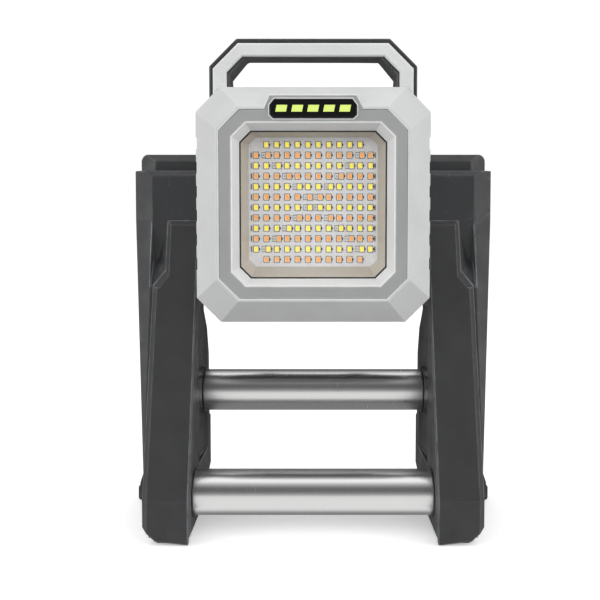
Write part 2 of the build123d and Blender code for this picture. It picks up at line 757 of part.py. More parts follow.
# The rear housing closes the bezel with a flange and holds the pivots and the electronics.
flange_plate = 2.6
rear_half_x, rear_half_z = 51.0, 47.0
pivot_boss_radius = 9.5
pivot_face_x = leg_inner_x - washer_thickness - 0.3
bush_radius = 7.0
vent_rows = [(x, z) for x in range(-28, 29, 8) for z in (-1, 1)]
button_z = 36.0  # above the middle of the head
button_x = 15.0
button_radius = 6.5
button_gap = 0.3
dock_low, dock_high = -44.0, 24.0  # below and above the middle of the head
dock_holes = [(x, z) for x in (-20, 20) for z in (dock_low + 9, dock_high - 22)]
battery_leads = [(-9, 17), (9, 17)]
with BuildPart() as rear_housing:
    with BuildSketch(facing(flange_plate)):
        octagon(head_half - 0.5, head_half - 0.5, head_corner)
    extrude(amount=flange_plate)
    with BuildSketch(facing(housing_slope_y)):
        octagon(housing_half_x, housing_half_z, housing_corner)
    extrude(amount=housing_slope_y)
    with BuildSketch(facing(housing_rear_y)):
        octagon(rear_half_x, rear_half_z, housing_corner - 2)
    with BuildSketch(facing(housing_slope_y)):
        octagon(housing_half_x, housing_half_z, housing_corner)
    loft()
    with BuildSketch(facing(housing_slope_y)):
        octagon(housing_half_x - wall, housing_half_z - wall, housing_corner - 1)
    extrude(amount=housing_slope_y, mode=Mode.SUBTRACT)
    with BuildSketch(facing(housing_rear_y - wall)):
        octagon(rear_half_x - wall + 0.6, rear_half_z - wall + 0.6, housing_corner - 3)
    with BuildSketch(facing(housing_slope_y)):
        octagon(housing_half_x - wall, housing_half_z - wall, housing_corner - 1)
    loft(mode=Mode.SUBTRACT)
    # Pivot bosses stand out from both sides.
    for side in (-1, 1):
        with BuildSketch(Plane.YZ.offset(side * pivot_face_x)):
            with Locations((pivot_y, head_z)):
                Circle(pivot_boss_radius)
        extrude(amount=-side * (pivot_face_x - bush_inner_x))
        with BuildSketch(Plane.YZ.offset(side * pivot_face_x)):
            with Locations((pivot_y, head_z)):
                Circle(bush_radius)
        extrude(amount=-side * 30, mode=Mode.SUBTRACT)
    # Fixing holes through the flange, two button holes, and vents at the top and bottom.
    with BuildSketch(facing(flange_plate)):
        with Locations(*screw_corners):
            Circle(small_hole)
    extrude(amount=flange_plate, mode=Mode.SUBTRACT)
    with BuildSketch(facing(flange_plate)):
        with Locations(*screw_corners):
            Circle(4.2)
    extrude(amount=-40, mode=Mode.SUBTRACT)
    with BuildSketch(facing(housing_rear_y)):
        with Locations((-button_x, button_z), (button_x, button_z)):
            Circle(button_radius + button_gap)
    extrude(amount=10, mode=Mode.SUBTRACT)
    with Locations(*[(x, 13, head_z + side * housing_half_z) for x, side in vent_rows]):
        Box(3.2, 12, 12, mode=Mode.SUBTRACT)
    with BuildSketch(facing(housing_rear_y)):
        with Locations(*dock_holes):
            Circle(small_hole)
        with Locations(*battery_leads):
            Circle(1.2)
    extrude(amount=5, mode=Mode.SUBTRACT)
write(rear_housing, "rear_housing")

with BuildPart() as pivot_bushes:
    for side in (-1, 1):
        with BuildSketch(Plane.YZ.offset(side * pivot_face_x)):
            with Locations((pivot_y, head_z)):
                Circle(bush_radius)
                Circle(pivot_radius + running_gap, mode=Mode.SUBTRACT)
        extrude(amount=-side * (pivot_face_x - bush_inner_x))
write(pivot_bushes, "pivot_bushes")

long_screws = [
    screw((x, flange_plate, head_z + z), (0, -1, 0), small_screw, 17, 2.9, 2.6) for x, z in screw_corners
]
with BuildPart() as housing_screws:
    add(long_screws)
write(housing_screws, "housing_screws")

# ---------------------------------------------------------------- electronics
driver_front_y = 5.0
with BuildPart() as driver_board:
    with BuildSketch(facing(driver_front_y + board_thickness)):
        with Locations((0, -6)):
            Rectangle(74, 64)
    extrude(amount=board_thickness)
write(driver_board, "driver_board")

driver_rear_y = driver_front_y + board_thickness
with BuildPart() as driver_components:
    for x, z, radius, height in ((-26, 8, 5, 12), (-26, -8, 5, 12), (-26, -24, 4, 9)):
        with BuildSketch(facing(driver_rear_y)):
            with Locations((x, z)):
                Circle(radius)
        extrude(amount=-height)
    for x, z, width, tall, height in (
        (0, 6, 13, 13, 7),
        (22, 10, 10, 9, 4.5),
        (22, -6, 10, 9, 4.5),
        (2, -22, 7, 7, 1.4),
        (20, -26, 9, 6, 6),
        (-8, -33, 12, 5, 8),
    ):
        with BuildSketch(facing(driver_rear_y)):
            with Locations((x, z)):
                Rectangle(width, tall)
        extrude(amount=-height)
write(driver_components, "driver_components")

# The switch board sits close behind the two buttons.
switch_board_y = 20.0
button_flange_y = housing_rear_y - wall - button_gap - 1.6
button_face_y = housing_rear_y + 2.2
stem_end_y = 25.2
with BuildPart() as switch_board:
    with BuildSketch(facing(switch_board_y + board_thickness)):
        with Locations((0, button_z)):
            Rectangle(46, 15)
    extrude(amount=board_thickness)
write(switch_board, "switch_board")

switch_face_y = switch_board_y + board_thickness
switch_height = 2.2
with BuildPart() as switches:
    for x in (-button_x, button_x):
        with BuildSketch(facing(switch_face_y)):
            with Locations((x, button_z)):
                Rectangle(6, 6)
        extrude(amount=-switch_height)
write(switches, "tact_switches")

for side, name in ((-1, "power_button"), (1, "colour_button")):
    with BuildPart() as button:
        with BuildSketch(facing(button_face_y)):
            with Locations((side * button_x, button_z)):
                Circle(button_radius)
        extrude(amount=button_face_y - button_flange_y)
        fillet(button.edges().group_by(Axis.Y)[-1], 0.8)
        with BuildSketch(facing(button_flange_y + 1.4)):
            with Locations((side * button_x, button_z)):
                Circle(button_radius + 1.2)
        extrude(amount=1.4)
        with BuildSketch(facing(button_flange_y)):
            with Locations((side * button_x, button_z)):
                Circle(1.8)
        extrude(amount=button_flange_y - stem_end_y)
    write(button, name)

# The battery dock: a plate with two hooked rails and a stop above the contacts.
dock_front_y = housing_rear_y
dock_plate_y = dock_front_y + 4.0
dock_rear_y = leg_rear_y
dock_half_x = 37.0
rail_width = 8.0
rail_lip = 3.5
lip_depth = 2.4
dock_middle = (dock_low + dock_high) / 2
with BuildPart() as battery_dock:
    with BuildSketch(facing(dock_plate_y)):
        with Locations((0, dock_middle)):
            Rectangle(2 * dock_half_x, dock_high - dock_low)
    extrude(amount=dock_plate_y - dock_front_y)
    for side in (-1, 1):
        for width, depth in ((rail_width, dock_rear_y - dock_plate_y), (rail_width + rail_lip, lip_depth)):
            with BuildSketch(facing(dock_rear_y)):
                with Locations((side * (dock_half_x - width / 2), dock_middle)):
                    Rectangle(width, dock_high - dock_low)
            extrude(amount=depth)
    with BuildSketch(facing(dock_rear_y)):
        with Locations((0, dock_high - 2)):
            Rectangle(2 * dock_half_x, 4)
    extrude(amount=dock_rear_y - dock_front_y)
    # Pocket for the battery's latch.
    with BuildSketch(facing(dock_plate_y)):
        with Locations((0, dock_low + 12)):
            Rectangle(18, 7)
    extrude(amount=3, mode=Mode.SUBTRACT)
    chamfer(battery_dock.edges().filter_by(Axis.Y).group_by(SortBy.LENGTH)[-1], 2)
    with BuildSketch(facing(dock_plate_y)):
        with Locations(*dock_holes):
            Circle(2.7 + running_gap)
    extrude(amount=1.6, mode=Mode.SUBTRACT)
    with BuildSketch(facing(dock_plate_y)):
        with Locations(*dock_holes):
            Circle(small_hole)
        with Locations(*battery_leads):
            Circle(1.2)
    extrude(amount=10, mode=Mode.SUBTRACT)
write(battery_dock, "battery_dock")

terminal_z = dock_high - 4
contact_places = [(x, terminal_z - 5) for x in (-15, -5, 5, 15)]
terminal_depth = 4.4
with BuildPart() as terminal_block:
    with BuildSketch(facing(dock_plate_y)):
        with Locations((0, terminal_z - 5)):
            Rectangle(40, 10)
    extrude(amount=-terminal_depth)
    with BuildSketch(facing(dock_plate_y + terminal_depth)):
        with Locations(*[(x, z - 1) for x, z in contact_places]):
            Rectangle(3.4, 8.1)
    extrude(amount=3.6, mode=Mode.SUBTRACT)
write(terminal_block, "terminal_block")

with BuildPart() as contacts:
    with BuildSketch(facing(dock_plate_y + 0.8)):
        with Locations(*contact_places):
            Rectangle(0.8, 6)
    extrude(amount=-3.4)
write(contacts, "contacts")

dock_fixings = [
    screw((x, dock_plate_y - 1.6, head_z + z), (0, -1, 0), small_screw, 5, 2.7, 1.5) for x, z in dock_holes
]
with BuildPart() as dock_screws:
    add(dock_fixings)
write(dock_screws, "dock_screws")

# ---------------------------------------------------------------- charge indicator
with BuildPart() as indicator_window:
    with BuildSketch(facing(window_rear_y)):
        outline(window_points)
    extrude(amount=window_thickness)
    chamfer(indicator_window.faces().sort_by(Axis.Y)[0].edges(), 0.6)
write(indicator_window, "indicator_window")

segment_pitch = 8.4
with BuildPart() as indicator_segments:
    with BuildSketch(facing(window_rear_y - window_thickness)):
        with Locations(*[(i * segment_pitch, (window_low + window_high) / 2) for i in range(-2, 3)]):
            Rectangle(6.4, 3.6)
    extrude(amount=0.15)
write(indicator_segments, "indicator_segments")

# ================================================================ the handle
handle_fixings = [(-51, 73.5, -8), (51, 73.5, -8), (-25, 84.5, -11.5), (25, 84.5, -11.5)]  # X, Z, seat
handle_fixing_tip_y = handle_front_y - 1.5
inner_corner = 9.2


def arch(half, top, corner, inner_half, inner_top, inner_cut, foot=40):
    """The handle's front view: an upright arch with cut corners outside and inside."""
    outline([
        (-half, foot),
        (-half, top - corner),
        (corner - half, top),
        (half - corner, top),
        (half, top - corner),
        (half, foot),
        (inner_half, foot),
        (inner_half, inner_top - inner_cut),
        (inner_half - inner_cut, inner_top),
        (inner_cut - inner_half, inner_top),
        (-inner_half, inner_top - inner_cut),
        (-inner_half, foot),
    ])


with BuildPart() as handle_shell:
    with BuildSketch(facing(handle_post_rear_y)):
        top = handle_top_z - head_z
        arch(handle_half, top, handle_corner, grip_inner_x, grip_top_z - head_z, inner_corner)
    extrude(amount=handle_post_rear_y - handle_front_y)
    # The bar is less deep than the posts.
    with BuildSketch(Plane.YZ.offset(-80)):
        outline([
            (handle_bar_rear_y, handle_top_z + 5),
            (handle_bar_rear_y, grip_top_z - 1),
            (handle_post_rear_y, grip_top_z - 12),
            (handle_post_rear_y + 5, grip_top_z - 12),
            (handle_post_rear_y + 5, handle_top_z + 5),
        ])
    extrude(amount=160, mode=Mode.SUBTRACT)
    with BuildSketch(facing(5)):
        octagon(head_half, head_half, head_corner)
    extrude(amount=60, mode=Mode.SUBTRACT)
    for x, z, seat in handle_fixings:
        with BuildSketch(facing(seat)):
            with Locations((x, z)):
                Circle(small_hole)
        extrude(amount=40, mode=Mode.SUBTRACT)
        with BuildSketch(facing(seat)):
            with Locations((x, z)):
                Circle(2.9)
        extrude(amount=-40, mode=Mode.SUBTRACT)
    with BuildSketch(Plane.XY.offset(head_z + post_seat_z)):
        with Locations(*post_places):
            Circle(small_hole)
    extrude(amount=11, mode=Mode.SUBTRACT)
write(handle_shell, "handle_shell")

with BuildPart() as handle_plate:
    with BuildSketch(facing(handle_front_y)):
        top = plate_top_z - head_z
        inner_top = grip_top_z + 0.2 - head_z
        arch(plate_half, top, plate_corner, plate_half - plate_strip, inner_top, plate_inner_corner)
    extrude(amount=handle_front_y - plate_front_y)
    with BuildSketch(facing(5)):
        octagon(head_half, head_half, head_corner)
    extrude(amount=60, mode=Mode.SUBTRACT)
    chamfer(handle_plate.faces().sort_by(Axis.Y)[0].edges(), 0.7)
    with BuildSketch(facing(handle_front_y)):
        with Locations(*[(x, z) for x, z, seat in handle_fixings]):
            Circle(small_hole)
    extrude(amount=1.6, mode=Mode.SUBTRACT)
write(handle_plate, "handle_plate")

plate_fixings = [
    screw((x, seat, head_z + z), (0, -1, 0), small_screw, seat - handle_fixing_tip_y, 2.7, 2)
    for x, z, seat in handle_fixings
]
with BuildPart() as handle_screws:
    add(plate_fixings)
write(handle_screws, "handle_screws")

post_fixings = [
    screw((x, y, head_z + post_seat_z), (0, 0, 1), small_screw, 10, 2.4, 1.8) for x, y in post_places
]
with BuildPart() as post_screws:
    add(post_fixings)
write(post_screws, "post_screws")

# ---------------------------------------------------------------- leads inside the head
with BuildPart() as leads:
    with BuildSketch(facing(driver_front_y)):
        with Locations((-1.3, lead_z), (1.3, lead_z)):
            Circle(0.9)
    extrude(amount=driver_front_y - board_front_y - board_thickness)
    with BuildSketch(facing(driver_rear_y)):
        with Locations(*battery_leads):
            Circle(0.9)
    extrude(amount=driver_rear_y - dock_plate_y)
write(leads, "leads")
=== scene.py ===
import json
import math

import bmesh
import bpy
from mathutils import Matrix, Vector
from mathutils.bvhtree import BVHTree


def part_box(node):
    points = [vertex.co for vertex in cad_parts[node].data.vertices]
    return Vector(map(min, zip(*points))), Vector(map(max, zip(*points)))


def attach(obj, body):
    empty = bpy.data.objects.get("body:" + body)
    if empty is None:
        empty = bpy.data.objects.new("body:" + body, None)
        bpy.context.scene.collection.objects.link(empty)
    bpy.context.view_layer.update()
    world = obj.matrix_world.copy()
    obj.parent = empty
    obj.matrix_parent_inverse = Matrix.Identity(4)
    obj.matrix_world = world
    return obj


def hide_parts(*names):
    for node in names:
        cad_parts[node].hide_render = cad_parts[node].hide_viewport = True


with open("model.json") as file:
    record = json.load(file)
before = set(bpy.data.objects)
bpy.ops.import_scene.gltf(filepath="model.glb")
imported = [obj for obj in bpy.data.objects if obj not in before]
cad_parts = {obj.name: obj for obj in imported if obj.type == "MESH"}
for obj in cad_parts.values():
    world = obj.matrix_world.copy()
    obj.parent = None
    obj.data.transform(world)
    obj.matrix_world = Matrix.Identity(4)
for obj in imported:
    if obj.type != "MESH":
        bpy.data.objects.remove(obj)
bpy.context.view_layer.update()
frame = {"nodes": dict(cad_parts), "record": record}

# A cordless LED work light, in metres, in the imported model's own frame: X across the light,
# +Y from the lens towards the battery dock, +Z up, floor at Z = 0.
MM = 0.001
WELD = 0.002 * MM  # corners closer than this are one corner
COPLANAR = math.radians(0.6)  # faces flatter to each other than this are one face
SMOOTH_BELOW = math.radians(11)  # folds shallower than this are curves, shaded smooth
ROUND_ABOVE = math.radians(26)  # outer folds sharper than this get a rounded edge
TURNED_CREASE = math.radians(35)  # folds of round pieces sharper than this stay crisp


# ================================================================ shader building blocks
class Finish:
    """One procedural material, built node by node round a Principled shader."""

    def __init__(self, name, roughness=0.5, metallic=0.0):
        self.material = bpy.data.materials.new(name)
        self.material.use_nodes = True
        self.tree = self.material.node_tree
        self.shader = self.tree.nodes["Principled BSDF"]
        self.shader.inputs["Metallic"].default_value = metallic
        self.shader.inputs["Roughness"].default_value = roughness
        self.place = self.node("ShaderNodeTexCoord").outputs["Object"]

    def node(self, kind, **settings):
        made = self.tree.nodes.new(kind)
        for key, value in settings.items():
            setattr(made, key, value)
        return made

    def join(self, source, socket):
        self.tree.links.new(source, socket)

    def feed(self, value, socket):
        """Link a socket, or set a plain value."""
        if isinstance(value, bpy.types.NodeSocket):
            self.join(value, socket)
        elif isinstance(value, tuple) and len(value) == 3 and socket.type == "RGBA":
            socket.default_value = (*value, 1.0)
        else:
            socket.default_value = value

    def stretched(self, scale):
        """The place on the object, stretched by a factor for each axis."""
        mapping = self.node("ShaderNodeMapping")
        self.join(self.place, mapping.inputs["Vector"])
        mapping.inputs["Scale"].default_value = scale
        return mapping.outputs["Vector"]

    def noise(self, size, detail=2.0, stretch=None, distortion=0.0):
        """Noise with features of about this size, 0 to 1."""
        noise = self.node("ShaderNodeTexNoise")
        self.join(self.stretched(stretch) if stretch else self.place, noise.inputs["Vector"])
        noise.inputs["Scale"].default_value = 1 / size
        noise.inputs["Detail"].default_value = detail
        noise.inputs["Distortion"].default_value = distortion
        return noise.outputs["Fac"]

    def pebbles(self, size):
        """Distance to the nearest of many scattered points, for spark-eroded grain."""
        cells = self.node("ShaderNodeTexVoronoi")
        self.join(self.place, cells.inputs["Vector"])
        cells.inputs["Scale"].default_value = 1 / size
        return cells.outputs["Distance"]

    def math(self, operation, first, second=0.0):
        made = self.node("ShaderNodeMath", operation=operation)
        self.feed(first, made.inputs[0])
        self.feed(second, made.inputs[1])
        return made.outputs[0]

    def span(self, value, low, high, to_low=0.0, to_high=1.0):
        """Value from low..high mapped to to_low..to_high, clamped and smooth."""
        made = self.node("ShaderNodeMapRange", interpolation_type="SMOOTHSTEP")
        self.feed(value, made.inputs["Value"])
        made.inputs["From Min"].default_value = low
        made.inputs["From Max"].default_value = high
        made.inputs["To Min"].default_value = to_low
        made.inputs["To Max"].default_value = to_high
        return made.outputs["Result"]

    def mix(self, share, first, second):
        """Colour between first and second."""
        made = self.node("ShaderNodeMix", data_type="RGBA")
        self.feed(share, made.inputs[0])
        self.feed(first, made.inputs[6])
        self.feed(second, made.inputs[7])
        return made.outputs[2]

    def edges(self, reach):
        """0 on flat stretches, 1 on outer edges and corners, from the thickness behind the surface."""
        inner = self.node("ShaderNodeAmbientOcclusion", inside=True, only_local=True, samples=6)
        inner.inputs["Distance"].default_value = reach
        open_at_flat, open_at_edge = 0.985, 0.86
        return self.span(inner.outputs["AO"], open_at_flat, open_at_edge)

    def scratches(self, size):
        """Thin wandering lines, 0 to 1, few and broken."""
        width = 0.004  # the share of the noise's range that one line takes
        field = self.noise(size, detail=1.0, distortion=0.8)
        line = self.math("ABSOLUTE", self.math("SUBTRACT", field, 0.5))
        gaps = self.span(self.noise(size * 0.6, detail=1.0), 0.52, 0.62)
        return self.math("MULTIPLY", self.span(line, 0.0, width, 1.0, 0.0), gaps)

    def bump(self, height, depth, under=None):
        """A normal with height added, depth metres deep."""
        made = self.node("ShaderNodeBump")
        made.inputs["Distance"].default_value = depth
        self.feed(height, made.inputs["Height"])
        if under is not None:
            self.join(under, made.inputs["Normal"])
        return made.outputs["Normal"]

    def set(self, **values):
        """Fixed values on the shader's own sockets; words are joined by underscores."""
        for key, value in values.items():
            self.feed(value, self.shader.inputs[key.replace("_", " ")])
        return self


def tint(colour, factor):
    """A colour made lighter or darker."""
    return tuple(min(1.0, channel * factor) for channel in colour)


# ================================================================ materials
def moulded(name, colour, roughness, edge=1.6, marks=0.35, specular=0.5):
    """Injection-moulded plastic: fine eroded grain, faint flow clouds, scuffs, edges lightened as wear and
    painted highlight.
    """
    grain, depth = 0.35 * MM, 0.02 * MM
    m = Finish(name, roughness)
    clouds = m.noise(24 * MM, detail=3.0)
    speckle = m.noise(0.8 * MM, detail=1.0)
    body = m.mix(m.span(clouds, 0.3, 0.7), tint(colour, 0.965), tint(colour, 1.03))
    body = m.mix(m.span(speckle, 0.35, 0.75, 0.0, 0.2), body, tint(colour, 1.15))
    # Edges lightened: partly wear, partly a painted highlight for light caught on the rounded edge.
    worn_and_highlit = m.math("MULTIPLY", m.edges(0.75 * MM), m.span(m.noise(9 * MM, detail=4.0), 0.25, 0.6, 0.35, 1.0))
    body = m.mix(worn_and_highlit, body, tint(colour, edge))
    scuffs = m.math("MULTIPLY", m.scratches(16 * MM), marks)
    body = m.mix(scuffs, body, tint(colour, edge * 1.15))
    gloss = m.span(m.noise(14 * MM, detail=5.0), 0.3, 0.72, roughness - 0.07, roughness + 0.08)
    polished = m.math("SUBTRACT", gloss, m.math("MULTIPLY", worn_and_highlit, 0.12))
    relief = m.bump(m.pebbles(grain), depth)
    relief = m.bump(m.noise(grain * 0.4, detail=1.0), depth * 0.5, relief)
    relief = m.bump(m.noise(30 * MM, detail=1.0), 0.05 * MM, relief)
    m.set(Specular_IOR_Level=specular)
    return m.set(Base_Color=body, Roughness=polished, Normal=relief).material


def soft_touch(name, colour, roughness, edge=1.5, dust=0.25):
    """Soft rubber: velvety sheen, very fine grain, dust caught in it, edges greyed as wear and painted
    highlight.
    """
    m = Finish(name, roughness)
    patches = m.noise(18 * MM, detail=4.0)
    body = m.mix(m.span(patches, 0.3, 0.7), tint(colour, 0.9), tint(colour, 1.1))
    # Edges lightened: partly wear, partly a painted highlight for light caught on the rounded edge.
    worn_and_highlit = m.math("MULTIPLY", m.edges(0.75 * MM), m.span(m.noise(7 * MM, detail=4.0), 0.3, 0.6, 0.3, 1.0))
    body = m.mix(worn_and_highlit, body, tint(colour, edge))
    specks = m.span(m.noise(0.6 * MM, detail=2.0), 0.66, 0.74, 0.0, dust)
    body = m.mix(specks, body, tint(colour, 2.2))
    gloss = m.span(m.noise(11 * MM, detail=5.0), 0.3, 0.7, roughness - 0.05, roughness + 0.1)
    relief = m.bump(m.noise(0.22 * MM, detail=2.0), 0.012 * MM)
    relief = m.bump(m.noise(26 * MM, detail=1.0), 0.1 * MM, relief)
    m.set(Sheen_Weight=0.12, Sheen_Roughness=0.5)
    return m.set(Base_Color=body, Roughness=gloss, Normal=relief).material


def brushed(name, colour, roughness, along=(1, 1, 1), streak=0.25 * MM, strength=0.006 * MM, uneven=0.10):
    """Metal brushed one way: fine streaks in tone, gloss and relief, and a few smudges."""
    m = Finish(name, roughness, metallic=1.0)
    streaks = m.noise(streak, detail=3.0, stretch=along)
    broad = m.noise(streak * 6, detail=2.0, stretch=along)
    smudge = m.noise(22 * MM, detail=4.0)
    body = m.mix(m.span(streaks, 0.3, 0.7), tint(colour, 1 - uneven), tint(colour, 1 + uneven / 2))
    body = m.mix(m.span(smudge, 0.45, 0.75, 0.0, 2 * uneven), body, tint(colour, 0.86))
    lines = m.span(streaks, 0.25, 0.75, roughness - uneven / 2, roughness + uneven)
    gloss = m.math("ADD", lines, m.span(broad, 0.3, 0.7, -uneven / 5, uneven / 4))
    relief = m.bump(broad, strength)
    return m.set(Base_Color=body, Roughness=gloss, Normal=relief).material


def cast_metal(name, colour, roughness):
    """Die-cast or plated metal: grainy, tarnish in patches, edges lightened as wear and painted highlight."""
    m = Finish(name, roughness, metallic=1.0)
    patches = m.noise(5 * MM, detail=4.0)
    body = m.mix(m.span(patches, 0.35, 0.7), tint(colour, 0.8), tint(colour, 1.05))
    # Edges lightened: partly wear, partly a painted highlight for light caught on the rounded edge.
    worn_and_highlit = m.edges(0.4 * MM)
    body = m.mix(worn_and_highlit, body, tint(colour, 1.25))
    gloss = m.span(m.noise(1.5 * MM, detail=3.0), 0.3, 0.7, roughness - 0.08, roughness + 0.12)
    relief = m.bump(m.noise(0.3 * MM, detail=2.0), 0.02 * MM)
    return m.set(Base_Color=body, Roughness=gloss, Normal=relief).material


def glossy(name, colour, roughness, coat=0.4, glow=None, painted_glow_strength=0.0, specular=0.5):
    """Small glossy moulded or potted parts, uneven in tone, slightly rippled, edges lightened as wear and
    painted highlight.
    """
    m = Finish(name, roughness)
    tone = m.noise(2.6 * MM, detail=3.0)
    body = m.mix(m.span(tone, 0.3, 0.7), tint(colour, 0.86), tint(colour, 1.08))
    # Edges lightened: partly wear, partly a painted highlight for light caught on the rounded edge.
    worn_and_highlit = m.edges(0.25 * MM)
    body = m.mix(worn_and_highlit, body, tint(colour, 1.2))
    gloss = m.span(m.noise(1.2 * MM, detail=3.0), 0.3, 0.7, max(0.03, roughness - 0.06), roughness + 0.08)
    relief = m.bump(m.noise(0.7 * MM, detail=1.0), 0.008 * MM)
    m.set(Coat_Weight=coat, Coat_Roughness=0.08, Specular_IOR_Level=specular)
    if glow:
        m.set(Emission_Color=glow, Emission_Strength=painted_glow_strength)
    return m.set(Base_Color=body, Roughness=gloss, Normal=relief).material


def phosphor(name, colour, pale, painted_glow_strength):
    """Silicone full of phosphor: grainy, paler at its middle, with a painted glow though the diodes are off.
    """
    m = Finish(name, 0.35)
    grain = m.noise(0.35 * MM, detail=2.0)
    shift = m.noise(7 * MM, detail=0.0)
    body = m.mix(m.span(grain, 0.3, 0.7), colour, pale)
    body = m.mix(m.span(shift, 0.35, 0.7, 0.0, 0.35), body, tint(colour, 0.88))
    relief = m.bump(grain, 0.02 * MM)
    m.set(Coat_Weight=0.5, Coat_Roughness=0.12)
    # Painted glow: the diodes are switched off, and this emission only brightens them.
    m.set(Emission_Color=colour, Emission_Strength=painted_glow_strength)
    gloss = m.span(grain, 0.3, 0.7, 0.28, 0.45)
    return m.set(Base_Color=body, Roughness=gloss, Normal=relief).material


def clear_polycarbonate(name):
    """Clear plate: glass-like to the eye, and open to light, with faint wipe marks."""
    m = Finish(name, 0.03)
    wipes = m.noise(9 * MM, detail=5.0, distortion=1.5)
    m.set(Transmission_Weight=1.0, IOR=1.49)
    m.set(Base_Color=m.mix(m.span(wipes, 0.4, 0.7), (0.985, 0.99, 0.99), (0.95, 0.965, 0.97)))
    m.set(Roughness=m.span(wipes, 0.35, 0.75, 0.01, 0.05))
    m.set(Normal=m.bump(m.noise(40 * MM, detail=1.0), 0.03 * MM))
    through = m.node("ShaderNodeBsdfTransparent")
    through.inputs["Color"].default_value = (0.97, 0.97, 0.97, 1.0)
    switch = m.node("ShaderNodeMixShader")
    rays = m.node("ShaderNodeLightPath")
    open_to = m.math("MAXIMUM", rays.outputs["Is Shadow Ray"], rays.outputs["Is Diffuse Ray"])
    open_to = m.math("MAXIMUM", open_to, rays.outputs["Is Glossy Ray"])
    m.join(open_to, switch.inputs[0])
    m.join(m.shader.outputs[0], switch.inputs[1])
    m.join(through.outputs[0], switch.inputs[2])
    m.join(switch.outputs[0], m.tree.nodes["Material Output"].inputs["Surface"])
    return m.material


def solder_mask(name, colour, line, pitch):
    """A printed board: satin lacquer with the copper tracks showing as low relief under it."""
    track = 0.35 * MM
    m = Finish(name, 0.42)
    swap = m.node("ShaderNodeMapping")
    m.join(m.place, swap.inputs["Vector"])
    swap.inputs["Rotation"].default_value = (math.radians(90), 0, 0)
    tracks = m.node("ShaderNodeTexBrick", offset=0.0)
    m.join(swap.outputs["Vector"], tracks.inputs["Vector"])
    tracks.inputs["Scale"].default_value = 1.0
    tracks.inputs["Brick Width"].default_value = pitch
    tracks.inputs["Row Height"].default_value = pitch
    tracks.inputs["Mortar Size"].default_value = track
    tracks.inputs["Mortar Smooth"].default_value = 0.3
    clouds = m.noise(6 * MM, detail=3.0)
    lacquer = m.mix(m.span(clouds, 0.3, 0.7), tint(colour, 0.93), tint(colour, 1.05))
    grains = m.span(m.noise(0.5 * MM, detail=2.0), 0.3, 0.7, 0.0, 0.35)
    lacquer = m.mix(grains, lacquer, tint(colour, 0.9))
    shown = m.math("MULTIPLY", tracks.outputs["Fac"], 0.55)
    body = m.mix(shown, lacquer, line)
    relief = m.bump(tracks.outputs["Fac"], 0.03 * MM)
    relief = m.bump(m.noise(0.4 * MM, detail=2.0), 0.008 * MM, relief)
    gloss = m.span(clouds, 0.3, 0.7, 0.34, 0.5)
    return m.set(Base_Color=body, Roughness=gloss, Normal=relief).material


def metallised(name, colour, roughness):
    """Plastic with a satin silver lacquer: gloss uneven like orange-peel, and a warm tarnish."""
    m = Finish(name, roughness, metallic=0.12)
    peel = m.noise(2.4 * MM, detail=1.0)
    warm = m.noise(12 * MM, detail=3.0)
    body = m.mix(m.span(warm, 0.3, 0.7), colour, (colour[0], colour[1] * 0.95, colour[2] * 0.86))
    gloss = m.span(peel, 0.3, 0.7, roughness - 0.05, roughness + 0.08)
    return m.set(Base_Color=body, Roughness=gloss, Normal=m.bump(warm, 0.01 * MM)).material


CHARCOAL = (0.030, 0.031, 0.033)
BUMPER = (0.026, 0.0265, 0.028)
PALE = (0.60, 0.605, 0.605)
PALER = (0.70, 0.705, 0.705)
RING = (0.34, 0.343, 0.345)

